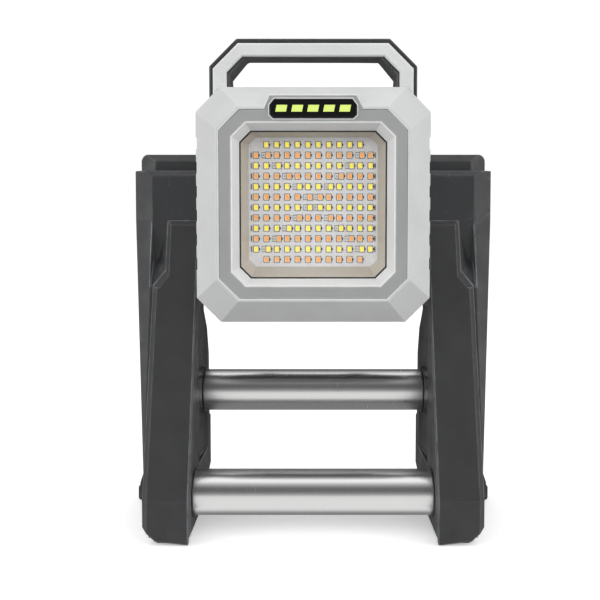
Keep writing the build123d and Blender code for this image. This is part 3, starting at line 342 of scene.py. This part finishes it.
materials = {
    "charcoal_plastic": moulded("charcoal_plastic", CHARCOAL, 0.46, edge=6.0, specular=0.45),
    "bumper_rubber": soft_touch("bumper_rubber", BUMPER, 0.55, edge=6.0),
    "foot_rubber": soft_touch("foot_rubber", (0.014, 0.014, 0.015), 0.7, edge=2.0, dust=0.5),
    "dark_screw_steel": brushed("dark_screw_steel", (0.13, 0.13, 0.135), 0.38, streak=0.5 * MM),
    "bright_screw_steel": brushed("bright_screw_steel", (0.62, 0.62, 0.61), 0.3, streak=0.5 * MM),
    "white_nylon": moulded("white_nylon", (0.72, 0.71, 0.67), 0.45, edge=1.1, marks=0.1),
    "black_nylon": moulded("black_nylon", (0.02, 0.02, 0.021), 0.5, edge=2.0),
    "satin_steel": brushed(
        "satin_steel", (0.74, 0.74, 0.735), 0.26, along=(0.5, 0.03, 0.03), strength=0.0003 * MM, uneven=0.012
    ),
    "light_plastic": moulded("light_plastic", PALE, 0.42, edge=1.32, marks=0.2),
    "plate_plastic": moulded("plate_plastic", PALER, 0.4, edge=1.25, marks=0.2),
    "trim_plastic": moulded("trim_plastic", RING, 0.45, edge=1.3, marks=0.2),
    "clear_lens": clear_polycarbonate("clear_lens"),
    "gasket_rubber": soft_touch("gasket_rubber", (0.02, 0.02, 0.021), 0.6),
    "silver_reflector": metallised("silver_reflector", (0.60, 0.57, 0.52), 0.42),
    "white_board": solder_mask("white_board", (0.95, 0.94, 0.955), (0.86, 0.85, 0.87), 5.72 * MM),
    "led_yellow": phosphor("led_yellow", (0.98, 0.84, 0.05), (1.0, 0.95, 0.30), 0.3),
    "led_orange": phosphor("led_orange", (0.98, 0.47, 0.12), (1.0, 0.64, 0.28), 0.25),
    "led_housing": glossy("led_housing", (0.80, 0.78, 0.70), 0.3),
    "solder": brushed("solder", (0.5, 0.5, 0.5), 0.32, streak=0.4 * MM),
    "mark_black": glossy("mark_black", (0.012, 0.012, 0.012), 0.4, coat=0.1),
    "resistor_grey": glossy("resistor_grey", (0.80, 0.79, 0.75), 0.3),
    "resistor_dark": glossy("resistor_dark", (0.12, 0.12, 0.12), 0.3),
    "board_land_shadow": glossy("board_land_shadow", (0.11, 0.105, 0.10), 0.4, coat=0.1),
    "cast_aluminium": cast_metal("cast_aluminium", (0.58, 0.59, 0.6), 0.42),
    "dock_plastic": moulded("dock_plastic", (0.018, 0.0185, 0.02), 0.5, edge=2.4),
    "bush_steel": brushed("bush_steel", (0.5, 0.5, 0.49), 0.3, streak=0.4 * MM),
    "green_board": solder_mask("green_board", (0.012, 0.11, 0.045), (0.03, 0.22, 0.09), 3.1 * MM),
    "component_black": glossy("component_black", (0.02, 0.02, 0.021), 0.35),
    "contact_brass": cast_metal("contact_brass", (0.78, 0.56, 0.24), 0.28),
    "lead_insulation": glossy("lead_insulation", (0.42, 0.015, 0.012), 0.4, coat=0.2),
    "indicator_black": glossy("indicator_black", (0.004, 0.004, 0.0045), 0.12, coat=0.1, specular=0.25),
    # The bars are no lamp: their emission is a painted glow that brightens them.
    "indicator_green": glossy(
        "indicator_green", (0.58, 0.72, 0.16), 0.35, glow=(0.55, 0.72, 0.12), painted_glow_strength=0.2
    ),
    "button_rubber": soft_touch("button_rubber", (0.50, 0.035, 0.015), 0.5, edge=1.3),
    "button_rubber_light": soft_touch("button_rubber_light", (0.30, 0.31, 0.32), 0.5, edge=1.3),
    "symbol_white": glossy("symbol_white", (0.75, 0.75, 0.74), 0.4, coat=0.1),
}

slots_of = {part["node"]: part["material_slot"] for part in frame["record"]["subparts"]}
bodies_of = {}
for body_name, members in frame["record"]["behaviour"]["bodies"].items():
    for member in members:
        bodies_of[member] = body_name

for node_name, cad_object in frame["nodes"].items():
    cad_object.data.materials.clear()
    cad_object.data.materials.append(materials[slots_of[node_name]])


# ================================================================ mesh building blocks
def new_piece(name, mesh_maker, body, slot, *replaced):
    """A new mesh object from a bmesh, riding a body, in place of the CAD nodes named last."""
    mesh = bpy.data.meshes.new(name)
    mesh_maker.to_mesh(mesh)
    mesh_maker.free()
    piece = bpy.data.objects.new(name, mesh)
    bpy.context.scene.collection.objects.link(piece)
    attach(piece, body)
    if replaced:
        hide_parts(*replaced)
    return piece


def welded(node):
    """A CAD node's mesh as a bmesh, its split corners joined and its flat faces made whole."""
    maker = bmesh.new()
    maker.from_mesh(frame["nodes"][node].data)
    bmesh.ops.remove_doubles(maker, verts=maker.verts, dist=WELD)
    bmesh.ops.dissolve_limit(
        maker,
        angle_limit=COPLANAR,
        verts=maker.verts,
        edges=maker.edges,
        use_dissolve_boundaries=False,
    )
    return maker


def crisp(node, width, finish=None):
    """A CAD node redrawn with its long outer edges rounded, in place of the node."""
    shortest = 4 * width
    lift, reach = 0.05 * MM, 30 * MM
    maker = welded(node)
    surface = BVHTree.FromBMesh(maker)
    weight = maker.edges.layers.float.new("bevel_weight_edge")
    for edge in maker.edges:
        sharp = edge.is_manifold and edge.is_convex and edge.calc_face_angle() > ROUND_ABOVE
        if sharp and edge.calc_length() > shortest:
            outward = (edge.link_faces[0].normal + edge.link_faces[1].normal).normalized()
            middle = (edge.verts[0].co + edge.verts[1].co) / 2
            # An edge inside a hollow or a hole faces its own walls and stays as it is.
            if surface.ray_cast(middle + outward * lift, outward, reach)[0] is None:
                edge[weight] = 1.0
    piece = new_piece(node + "_finished", maker, bodies_of[node], slots_of[node], node)
    piece.data.materials.append(materials[finish or slots_of[node]])
    for polygon in piece.data.polygons:
        polygon.use_smooth = True
    piece.data.set_sharp_from_angle(angle=SMOOTH_BELOW)
    bevel = piece.modifiers.new("edge", "BEVEL")
    bevel.width = width
    bevel.segments = 3
    bevel.limit_method = "WEIGHT"
    bevel.use_clamp_overlap = False
    bevel.miter_outer = "MITER_ARC"
    shading = piece.modifiers.new("shading", "WEIGHTED_NORMAL")
    shading.mode = "FACE_AREA"
    shading.weight = 100
    shading.keep_sharp = True


def islands(node):
    """The (lowest, highest) corners of every separate solid in a CAD node."""
    maker = bmesh.new()
    maker.from_mesh(frame["nodes"][node].data)
    bmesh.ops.remove_doubles(maker, verts=maker.verts, dist=WELD)
    left = set(maker.verts)
    found = []
    while left:
        group = [left.pop()]
        for vert in group:
            for edge in vert.link_edges:
                other = edge.other_vert(vert)
                if other in left:
                    left.remove(other)
                    group.append(other)
        lo = Vector([min(v.co[k] for v in group) for k in range(3)])
        hi = Vector([max(v.co[k] for v in group) for k in range(3)])
        found.append((lo, hi))
    maker.free()
    return sorted(found, key=lambda pair: (round(pair[0].z, 5), round(pair[0].x, 5)))


def prism(maker, points, front_y, rear_y, slot_index=0, taper=0.0):
    """A prism across the head from an outline of (x, z), its front drawn in; gives its faces."""
    middle_x = sum(x for x, z in points) / len(points)
    middle_z = sum(z for x, z in points) / len(points)

    def drawn_in(x, z):
        away = Vector((x - middle_x, z - middle_z))
        return away * (1 - taper / max(away.length, 1e-9)) + Vector((middle_x, middle_z))

    rear = [maker.verts.new((x, rear_y, z)) for x, z in points]
    front = [maker.verts.new((p.x, front_y, p.y)) for p in (drawn_in(x, z) for x, z in points)]
    count = len(points)
    made = [maker.faces.new(front), maker.faces.new(list(reversed(rear)))]
    for i in range(count):
        j = (i + 1) % count
        made.append(maker.faces.new((rear[i], rear[j], front[j], front[i])))
    for face in made:
        face.material_index = slot_index
    bmesh.ops.recalc_face_normals(maker, faces=made)
    return made


def rectangle(x, z, half_x, half_z, cut=0.0):
    """Corners of an upright rectangle, cut off at 45 degrees or left square."""
    left, right, low, high = x - half_x, x + half_x, z - half_z, z + half_z
    if not cut:
        return [(left, low), (right, low), (right, high), (left, high)]
    return [
        (left + cut, low),
        (right - cut, low),
        (right, low + cut),
        (right, high - cut),
        (right - cut, high),
        (left + cut, high),
        (left, high - cut),
        (left, low + cut),
    ]


def close_loops(maker, loops):
    """Faces between every loop of corners and the next, and from the last loop to the first."""
    for this, other in zip(loops, loops[1:] + loops[:1]):
        for k in range(len(this)):
            n = (k + 1) % len(this)
            maker.faces.new((this[k], this[n], other[n], other[k]))


# ================================================================ the shells, with rounded edges
for side in ("left_", "right_"):
    crisp(side + "leg_body", 0.5 * MM)
    crisp(side + "leg_cover", 0.5 * MM)
    crisp(side + "leg_bumper", 0.3 * MM)
    crisp(side + "toe_pad", 0.4 * MM)
    crisp(side + "heel_pad", 0.6 * MM)
crisp("bezel", 0.45 * MM)
crisp("trim_ring", 0.3 * MM)
crisp("lens_frame", 0.25 * MM, finish="plate_plastic")
crisp("handle_shell", 0.7 * MM)
crisp("handle_plate", 0.35 * MM, finish="plate_plastic")
crisp("rear_housing", 0.6 * MM)
crisp("battery_dock", 0.5 * MM)
crisp("indicator_window", 0.15 * MM)
crisp("terminal_block", 0.25 * MM)


# ================================================================ the tubes
TUBE_WALL = 1.5 * MM


def around_tube(maker, middle, profile, turns):
    """A closed band round a tube's axis from a profile of (x, radius)."""
    loops = []
    for i in range(turns):
        turn = 2 * math.pi * i / turns
        loops.append([
            maker.verts.new((x, middle.y + r * math.cos(turn), middle.z + r * math.sin(turn)))
            for x, r in profile
        ])
    close_loops(maker, loops)


def tube(node):
    """A smooth tube with its two end edges broken, in place of the CAD tube."""
    lo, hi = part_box(node)
    middle = (lo + hi) / 2
    radius = (hi.z - lo.z) / 2
    bore = radius - TUBE_WALL
    edge = 0.4 * MM
    profile = [
        (lo.x, bore + edge),
        (lo.x, radius - edge),
        (lo.x + edge, radius),
        (hi.x - edge, radius),
        (hi.x, radius - edge),
        (hi.x, bore + edge),
        (hi.x - edge, bore),
        (lo.x + edge, bore),
    ]
    maker = bmesh.new()
    around_tube(maker, middle, profile, 96)
    bmesh.ops.recalc_face_normals(maker, faces=maker.faces)
    for face in maker.faces:
        face.smooth = True
    piece = new_piece(node + "_finished", maker, "stand", slots_of[node], node)
    piece.data.materials.append(materials["satin_steel"])
    piece.data.set_sharp_from_angle(angle=TURNED_CREASE)
    return middle, radius


def shadow_rings(name, middle, radius):
    """Thin dark rings where a tube enters both legs: painted shadow for the shade in the gap there."""
    leg_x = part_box("right_leg_body")[0].x
    half_height, half_width, sunk = 0.55 * MM, 0.6 * MM, 0.2 * MM
    section = [2 * math.pi * k / 10 for k in range(10)]
    maker = bmesh.new()
    for side in (-1, 1):
        profile = [
            (side * (leg_x - sunk + half_width * math.sin(a)), radius + half_height * (1 + math.cos(a)))
            for a in section
        ]
        around_tube(maker, middle, profile, 72)
    bmesh.ops.recalc_face_normals(maker, faces=maker.faces)
    for face in maker.faces:
        face.smooth = True
    piece = new_piece(name, maker, "stand", "foot_rubber")
    piece.data.materials.append(materials["mark_black"])


for tube_node in ("front_tube", "rear_tube"):
    tube_middle, tube_radius = tube(tube_node)
    shadow_rings(tube_node + "_collars", tube_middle, tube_radius)


# ================================================================ the LED board
SUNK = 0.05 * MM  # how far a mark reaches into what it lies on


def centre(lo, hi):
    """The middle and the half sizes of a box seen from the front, as x, z, half x and half z."""
    return (lo.x + hi.x) / 2, (lo.z + hi.z) / 2, (hi.x - lo.x) / 2, (hi.z - lo.z) / 2


def diodes(node, glow):
    """Every package of a CAD node: a pale frame round a filled cavity, on two soldered feet."""
    frame_width = 0.20 * MM
    cavity_slope, cavity_depth = 0.07 * MM, 0.14 * MM
    dome_width, dome_rise = 0.55 * MM, 0.07 * MM
    foot_half, foot_height = 0.22 * MM, 0.16 * MM
    maker = bmesh.new()
    for lo, hi in islands(node):
        x, z, half_x, half_z = centre(lo, hi)
        body = rectangle(x, z, half_x - 0.06 * MM, half_z - 0.12 * MM, 0.22 * MM)
        lid = prism(maker, body, lo.y, hi.y, 0, 0.05 * MM)[0]
        bmesh.ops.inset_region(maker, faces=[lid], thickness=frame_width, depth=0.0)
        bmesh.ops.inset_region(maker, faces=[lid], thickness=cavity_slope, depth=-cavity_depth)
        bmesh.ops.inset_region(maker, faces=[lid], thickness=dome_width, depth=dome_rise)
        lid.material_index = 1
        for edge in lid.edges:
            for face in edge.link_faces:
                face.material_index = 1
        for end in (-1, 1):
            foot = rectangle(x, z + end * (half_z - foot_half), half_x * 0.72, foot_half)
            prism(maker, foot, hi.y - foot_height, hi.y, 2, 0.05 * MM)
    piece = new_piece(node + "_finished", maker, "head", slots_of[node], node)
    for name in ("led_housing", glow, "solder"):
        piece.data.materials.append(materials[name])


diodes("cool_leds", "led_yellow")
diodes("warm_leds", "led_orange")


def resistors():
    """Chip resistors: a grey body, two bright end caps and a dark spot."""
    cap_half, spot_radius = 0.3 * MM, 0.3 * MM
    maker = bmesh.new()
    turns = [k * math.pi / 6 for k in range(12)]
    for lo, hi in islands("resistors"):
        x, z, half_x, half_z = centre(lo, hi)
        prism(maker, rectangle(x, z, half_x - 0.05 * MM, half_z - cap_half), lo.y, hi.y, 0, 0.04 * MM)
        for end in (-1, 1):
            cap = rectangle(x, z + end * (half_z - cap_half), half_x, cap_half, 0.06 * MM)
            prism(maker, cap, lo.y + 0.01 * MM, hi.y, 2, 0.06 * MM)
        spot = [(x + spot_radius * math.cos(a), z + spot_radius * math.sin(a)) for a in turns]
        prism(maker, spot, lo.y - 0.03 * MM, lo.y + SUNK, 1, 0.02 * MM)
    piece = new_piece("resistors_finished", maker, "head", slots_of["resistors"], "resistors")
    for name in ("resistor_grey", "resistor_dark", "solder"):
        piece.data.materials.append(materials[name])


resistors()


def board_marks():
    """On the board: a dark patch under each diode and chip, wider than it as painted shadow round it, a
    half-round mark beside, edge pads.
    """
    board_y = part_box("led_board")[0].y
    chips = islands("resistors")
    packages = islands("cool_leds") + islands("warm_leds")
    rear_y = board_y + SUNK
    land_y = board_y - 0.06 * MM
    pad_y = board_y - 0.25 * MM
    dot_y = board_y - 0.3 * MM
    dot_radius, dot_gap = 0.75 * MM, 0.1 * MM
    half_turn = [math.radians(-90 + 18 * k) for k in range(11)]
    maker = bmesh.new()
    for lo, hi in packages:
        x, z, half_x, half_z = centre(lo, hi)
        # The dark patch reaches past the package on every side: painted shadow round it.
        shadowed_land = rectangle(x, z, half_x + 0.3 * MM, half_z + 0.22 * MM, 0.3 * MM)
        prism(maker, shadowed_land, land_y, rear_y, 1, 0.03 * MM)
        # A chip just to the right of the diode leaves no room for its mark.
        blocked = any(
            abs((chip_lo.z + chip_hi.z) / 2 - z) < 1 * MM and 0 < chip_lo.x - hi.x < 0.9 * MM
            for chip_lo, chip_hi in chips
        )
        if not blocked:
            dot_x = hi.x + dot_gap
            mark = [(dot_x + dot_radius * math.cos(a), z + dot_radius * math.sin(a)) for a in half_turn]
            prism(maker, mark, dot_y, rear_y, 0, 0.04 * MM)
    for lo, hi in chips:
        x, z, half_x, half_z = centre(lo, hi)
        # Painted shadow round each chip, as for the diodes.
        shadowed_land = rectangle(x, z, half_x + 0.15 * MM, half_z + 0.15 * MM, 0.1 * MM)
        prism(maker, shadowed_land, land_y, rear_y, 1, 0.03 * MM)
    rows = sorted({round((lo.z + hi.z) / 2, 5) for lo, hi in packages})
    edge_x = max(hi.x for lo, hi in packages) + 1.15 * MM
    for z in rows[1:-1]:
        for side in (-1, 1):
            pad = rectangle(side * edge_x, z, 0.28 * MM, 1.5 * MM, 0.1 * MM)
            prism(maker, pad, pad_y, rear_y, 1, 0.04 * MM)
    piece = new_piece("board_marks", maker, "head", "component_black")
    piece.data.materials.append(materials["mark_black"])
    piece.data.materials.append(materials["board_land_shadow"])


board_marks()


# ================================================================ painted-shadow lip round the lens, and window rim
def cut_rectangle(half_x, low, high, cut, cut_x, cut_z):
    """Corners of an upright outline, cut at 45 degrees below and slanted by cut_x, cut_z above."""
    return [
        (cut - half_x, low),
        (half_x - cut, low),
        (half_x, low + cut),
        (half_x, high - cut_z),
        (half_x - cut_x, high),
        (cut_x - half_x, high),
        (-half_x, high - cut_z),
        (-half_x, low + cut),
    ]


def rim(name, outer, inner, front_y, rear_y, slot, finish):
    """A thin closed rim between two outlines of (x, z), its front edges broken."""
    maker = bmesh.new()
    edge = 0.12 * MM
    rows = [(outer, rear_y), (outer, front_y + edge)]
    middle = [((a[0] + b[0]) / 2, (a[1] + b[1]) / 2) for a, b in zip(outer, inner)]
    rows += [(middle, front_y), (inner, front_y + edge), (inner, rear_y)]
    close_loops(maker, [[maker.verts.new((x, y, z)) for x, z in points] for points, y in rows])
    bmesh.ops.recalc_face_normals(maker, faces=maker.faces)
    piece = new_piece(name, maker, "head", slot)
    piece.data.materials.append(materials[finish])


def shadow_gap_lip():
    """A dark lip where the clear plate meets its frame: painted shadow for the shade in that gap."""
    lo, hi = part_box("reflector")
    front_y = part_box("lens")[0].y
    middle_z = (lo.z + hi.z) / 2

    def octagon(half, cut):
        return cut_rectangle(half, middle_z - half, middle_z + half, cut, cut, cut)

    reflector_wall, lip_width = 1.4 * MM, 0.75 * MM
    outer = octagon(hi.x - reflector_wall, 6.0 * MM)
    inner = octagon(hi.x - reflector_wall - lip_width, 5.7 * MM)
    rim("shadow_gap_lip", outer, inner, front_y - 0.45 * MM, front_y + 0.1 * MM, "gasket_rubber", "gasket_rubber")


def window_rim():
    """A bright raised rim round the indicator's window."""
    lo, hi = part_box("indicator_window")
    ring_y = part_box("trim_ring")[0].y
    low_cut, high_cut_x, high_cut_z = 2.0 * MM, 2.6 * MM, 3.3 * MM
    cuts = (low_cut, high_cut_x, high_cut_z)
    inner = cut_rectangle(hi.x, lo.z, hi.z, *cuts)
    grow = 0.55 * MM
    outer = cut_rectangle(hi.x + grow, lo.z - grow, hi.z + grow, *(c + 0.4 * grow for c in cuts))
    rim("window_rim", outer, inner, ring_y - 0.35 * MM, ring_y + 0.2 * MM, slots_of["bezel"], "plate_plastic")


shadow_gap_lip()
window_rim()


# ================================================================ indicator bars
def bars():
    """The charge bars: slanted, slightly domed strips lying on the window."""
    maker = bmesh.new()
    lean = 0.7 * MM
    for lo, hi in islands("indicator_segments"):
        points = [(lo.x, lo.z), (hi.x - lean, lo.z), (hi.x, hi.z), (lo.x + lean, hi.z)]
        prism(maker, points, lo.y, hi.y, 0, 0.08 * MM)
    piece = new_piece("indicator_segments_finished", maker, "head", "indicator_green", "indicator_segments")
    piece.data.materials.append(materials["indicator_green"])


bars()


# ================================================================ the buttons
BUTTON_DISH = 0.5 * MM  # how deep a button's face is dished at its symbol
SYMBOL_SUNK = 0.3 * MM  # how far a symbol reaches into the face
SYMBOL_RISE = 0.22 * MM  # how far it stands above it


def button(node, symbol):
    """A button cap with a dished face, in place of the CAD button, and a raised symbol on it."""
    lo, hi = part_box(node)
    middle = (lo + hi) / 2
    flange = (hi.x - lo.x) / 2
    cap = flange - 1.2 * MM
    stem = 1.8 * MM
    rounding, corner = 0.8 * MM, 0.23 * MM  # of the cap's rim, in two straight steps
    rim_y = hi.y
    stem_y = lo.y
    flange_y = hi.y - 5.3 * MM  # the flange's outer face, behind the housing wall
    flange_inner_y = flange_y - 1.4 * MM
    profile = [
        (0.0, stem_y),
        (stem, stem_y),
        (stem, flange_inner_y),
        (flange, flange_inner_y),
        (flange, flange_y),
        (cap, flange_y),
        (cap, rim_y - rounding),
        (cap - corner, rim_y - corner),
        (cap - rounding, rim_y),
        (cap - 1.4 * MM, rim_y - 0.12 * MM),
        (cap * 0.4, rim_y - BUTTON_DISH),
        (0.0, rim_y - 0.55 * MM),
    ]
    maker = bmesh.new()
    verts = [maker.verts.new((middle.x + r, y, middle.z)) for r, y in profile]
    edges = [maker.edges.new(pair) for pair in zip(verts, verts[1:])]
    bmesh.ops.spin(
        maker,
        geom=verts + edges,
        cent=(middle.x, 0, middle.z),
        axis=(0, 1, 0),
        angle=2 * math.pi,
        steps=64,
        use_merge=True,
    )
    bmesh.ops.remove_doubles(maker, verts=maker.verts, dist=0.001 * MM)
    bmesh.ops.recalc_face_normals(maker, faces=maker.faces)
    for face in maker.faces:
        face.smooth = True
    piece = new_piece(node + "_finished", maker, node, slots_of[node], node)
    piece.data.materials.append(materials[slots_of[node]])
    piece.data.set_sharp_from_angle(angle=TURNED_CREASE)
    marks = bmesh.new()
    symbol(marks, middle.x, middle.z, rim_y - BUTTON_DISH)
    sign = new_piece(node + "_symbol", marks, node, slots_of[node])
    sign.data.materials.append(materials["symbol_white"])


def stroke(maker, points, face_y):
    """One raised stroke of a symbol, from its outline of (x, z)."""
    prism(maker, points, face_y - SYMBOL_SUNK, face_y + SYMBOL_RISE)


def arc_band(maker, x, z, radius, width, start, end, face_y):
    """A raised band along part of a circle, from start to end in degrees from the top."""
    steps = 28
    turns = [math.radians(start + (end - start) * k / steps) for k in range(steps + 1)]
    far, near = radius + width / 2, radius - width / 2
    outer = [(x + far * math.sin(a), z + far * math.cos(a)) for a in turns]
    inner = [(x + near * math.sin(a), z + near * math.cos(a)) for a in turns]
    for k in range(steps):
        stroke(maker, [outer[k], outer[k + 1], inner[k + 1], inner[k]], face_y)


def power_symbol(maker, x, z, face_y):
    """A circle open at the top, with an upright bar in the gap."""
    arc_band(maker, x, z, 2.3 * MM, 0.6 * MM, 38, 322, face_y)
    stroke(maker, rectangle(x, z + 1.9 * MM, 0.3 * MM, 1.3 * MM), face_y)


def colour_symbol(maker, x, z, face_y):
    """A small sun: a ring and eight rays."""
    arc_band(maker, x, z, 1.3 * MM, 0.5 * MM, 0, 360, face_y)
    for k in range(8):
        turn = k * math.pi / 4
        across = Vector((math.cos(turn), -math.sin(turn))) * 0.22 * MM
        out = Vector((math.sin(turn), math.cos(turn)))
        near = Vector((x, z)) + out * 2.1 * MM
        far = Vector((x, z)) + out * 3.2 * MM
        corners = (near - across, near + across, far + across, far - across)
        stroke(maker, [tuple(corner) for corner in corners], face_y)


button("power_button", power_symbol)
button("colour_button", colour_symbol)


# ================================================================ camera, floor and light
scene = bpy.context.scene
scene.view_settings.view_transform = "Standard"
scene.view_settings.look = "None"

camera_data = bpy.data.cameras.new("camera")
camera_data.sensor_width = 36.0
camera_data.lens = 42.8
camera_data.shift_x = -0.022
camera_data.shift_y = -0.06
camera_data.clip_start = 0.01
camera = bpy.data.objects.new("camera", camera_data)
camera.location = (0.0, -0.416, 0.167)
camera.rotation_euler = (math.radians(90 - 2.5), 0.0, 0.0)
scene.collection.objects.link(camera)
scene.camera = camera


def floor():
    """A wide pale disc of studio floor: white to the eye, dim in bounced light and reflections, with painted
    shadow under the light.
    """
    under_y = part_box("front_tube")[0].y
    pale, dark = (0.95, 0.95, 0.95), (0.25, 0.25, 0.25)
    bounced = (0.36, 0.36, 0.36, 1.0)
    maker = bmesh.new()
    bmesh.ops.create_circle(maker, cap_ends=True, segments=96, radius=14.0)
    mesh = bpy.data.meshes.new("floor")
    maker.to_mesh(mesh)
    maker.free()
    sheet = bpy.data.objects.new("floor", mesh)
    scene.collection.objects.link(sheet)
    m = Finish("studio_floor", 0.75)
    haze = m.noise(0.4, detail=3.0)
    m.set(Base_Color=m.mix(m.span(haze, 0.3, 0.7), (0.93, 0.93, 0.93), (0.96, 0.96, 0.96)))
    m.set(Normal=m.bump(m.noise(3 * MM, detail=2.0), 0.02 * MM), Specular_IOR_Level=0.2)
    m.set(Emission_Color=(1.0, 1.0, 1.0), Emission_Strength=0.3)
    rays = m.node("ShaderNodeLightPath")
    along = m.node("ShaderNodeSeparateXYZ")
    m.join(m.place, along.inputs[0])
    # Beneath the light the floor turns dark in reflections: painted shadow for the shade under it.
    shadow_beneath = m.span(along.outputs["Y"], under_y - 4 * MM, under_y + 9 * MM)
    mirrored = m.node("ShaderNodeEmission")
    m.join(m.mix(shadow_beneath, pale, dark), mirrored.inputs["Color"])
    dim = m.node("ShaderNodeBsdfDiffuse")
    dim.inputs["Color"].default_value = bounced
    shown = m.shader
    for test, other in (("Is Diffuse Ray", dim), ("Is Glossy Ray", mirrored)):
        switch = m.node("ShaderNodeMixShader")
        m.join(rays.outputs[test], switch.inputs[0])
        m.join(shown.outputs[0], switch.inputs[1])
        m.join(other.outputs[0], switch.inputs[2])
        shown = switch
    m.join(shown.outputs[0], m.tree.nodes["Material Output"].inputs["Surface"])
    mesh.materials.append(m.material)


floor()


def softbox(name, place, aim, width, height, power, mirrored):
    """A rectangular soft light, aimed at a point, and seen or not seen in reflections."""
    light = bpy.data.lights.new(name, "AREA")
    light.shape = "RECTANGLE"
    light.size = width
    light.size_y = height
    light.energy = power
    holder = bpy.data.objects.new(name, light)
    holder.location = place
    holder.rotation_euler = (Vector(aim) - Vector(place)).to_track_quat("-Z", "Y").to_euler()
    holder.visible_glossy = mirrored
    scene.collection.objects.link(holder)


middle_of_light = (0.0, 0.0, 0.13)
softbox("top_light", (0.0, 0.05, 1.3), middle_of_light, 1.1, 0.8, 1.5, mirrored=False)
softbox("left_light", (-1.15, -0.5, 0.4), middle_of_light, 0.7, 0.9, 5.0, mirrored=True)
softbox("right_light", (1.15, -0.5, 0.4), middle_of_light, 0.7, 0.9, 5.0, mirrored=True)
softbox("front_light", (0.0, -1.25, 0.6), middle_of_light, 1.2, 0.35, 1.9, mirrored=False)


def studio_world():
    """White to the eye, soft white for diffuse light, and a banded room in reflections."""
    world = bpy.data.worlds.new("studio")
    world.use_nodes = True
    scene.world = world
    tree = world.node_tree
    tree.nodes.clear()
    out = tree.nodes.new("ShaderNodeOutputWorld")
    rays = tree.nodes.new("ShaderNodeLightPath")

    def even(strength):
        made = tree.nodes.new("ShaderNodeBackground")
        made.inputs["Color"].default_value = (1.0, 1.0, 1.0, 1.0)
        made.inputs["Strength"].default_value = strength
        return made.outputs[0]

    def mirrored_room(strength):
        """What the metal reflects: a grey horizon, a dark band above it and a bright ceiling."""
        direction = tree.nodes.new("ShaderNodeSeparateXYZ")
        tree.links.new(tree.nodes.new("ShaderNodeTexCoord").outputs["Generated"], direction.inputs[0])
        ramp = tree.nodes.new("ShaderNodeValToRGB")
        ramp.color_ramp.interpolation = "EASE"
        tree.links.new(direction.outputs["Z"], ramp.inputs[0])
        steps = ((5, 0.26), (19, 0.09), (37, 0.09), (53, 0.34), (74, 1.0))  # degrees up, brightness
        marks = ramp.color_ramp.elements
        while len(marks) < len(steps):
            marks.new(0.5)
        for mark, (elevation, value) in zip(marks, steps):
            mark.position = math.sin(math.radians(elevation))
            mark.color = (value, value, value, 1.0)
        made = tree.nodes.new("ShaderNodeBackground")
        tree.links.new(ramp.outputs[0], made.inputs["Color"])
        made.inputs["Strength"].default_value = strength
        return made.outputs[0]

    def choose(test, when_no, when_yes):
        made = tree.nodes.new("ShaderNodeMixShader")
        tree.links.new(test, made.inputs[0])
        tree.links.new(when_no, made.inputs[1])
        tree.links.new(when_yes, made.inputs[2])
        return made.outputs[0]

    room = choose(rays.outputs["Is Glossy Ray"], even(0.88), mirrored_room(1.35))
    tree.links.new(choose(rays.outputs["Is Camera Ray"], room, even(1.05)), out.inputs["Surface"])


studio_world()
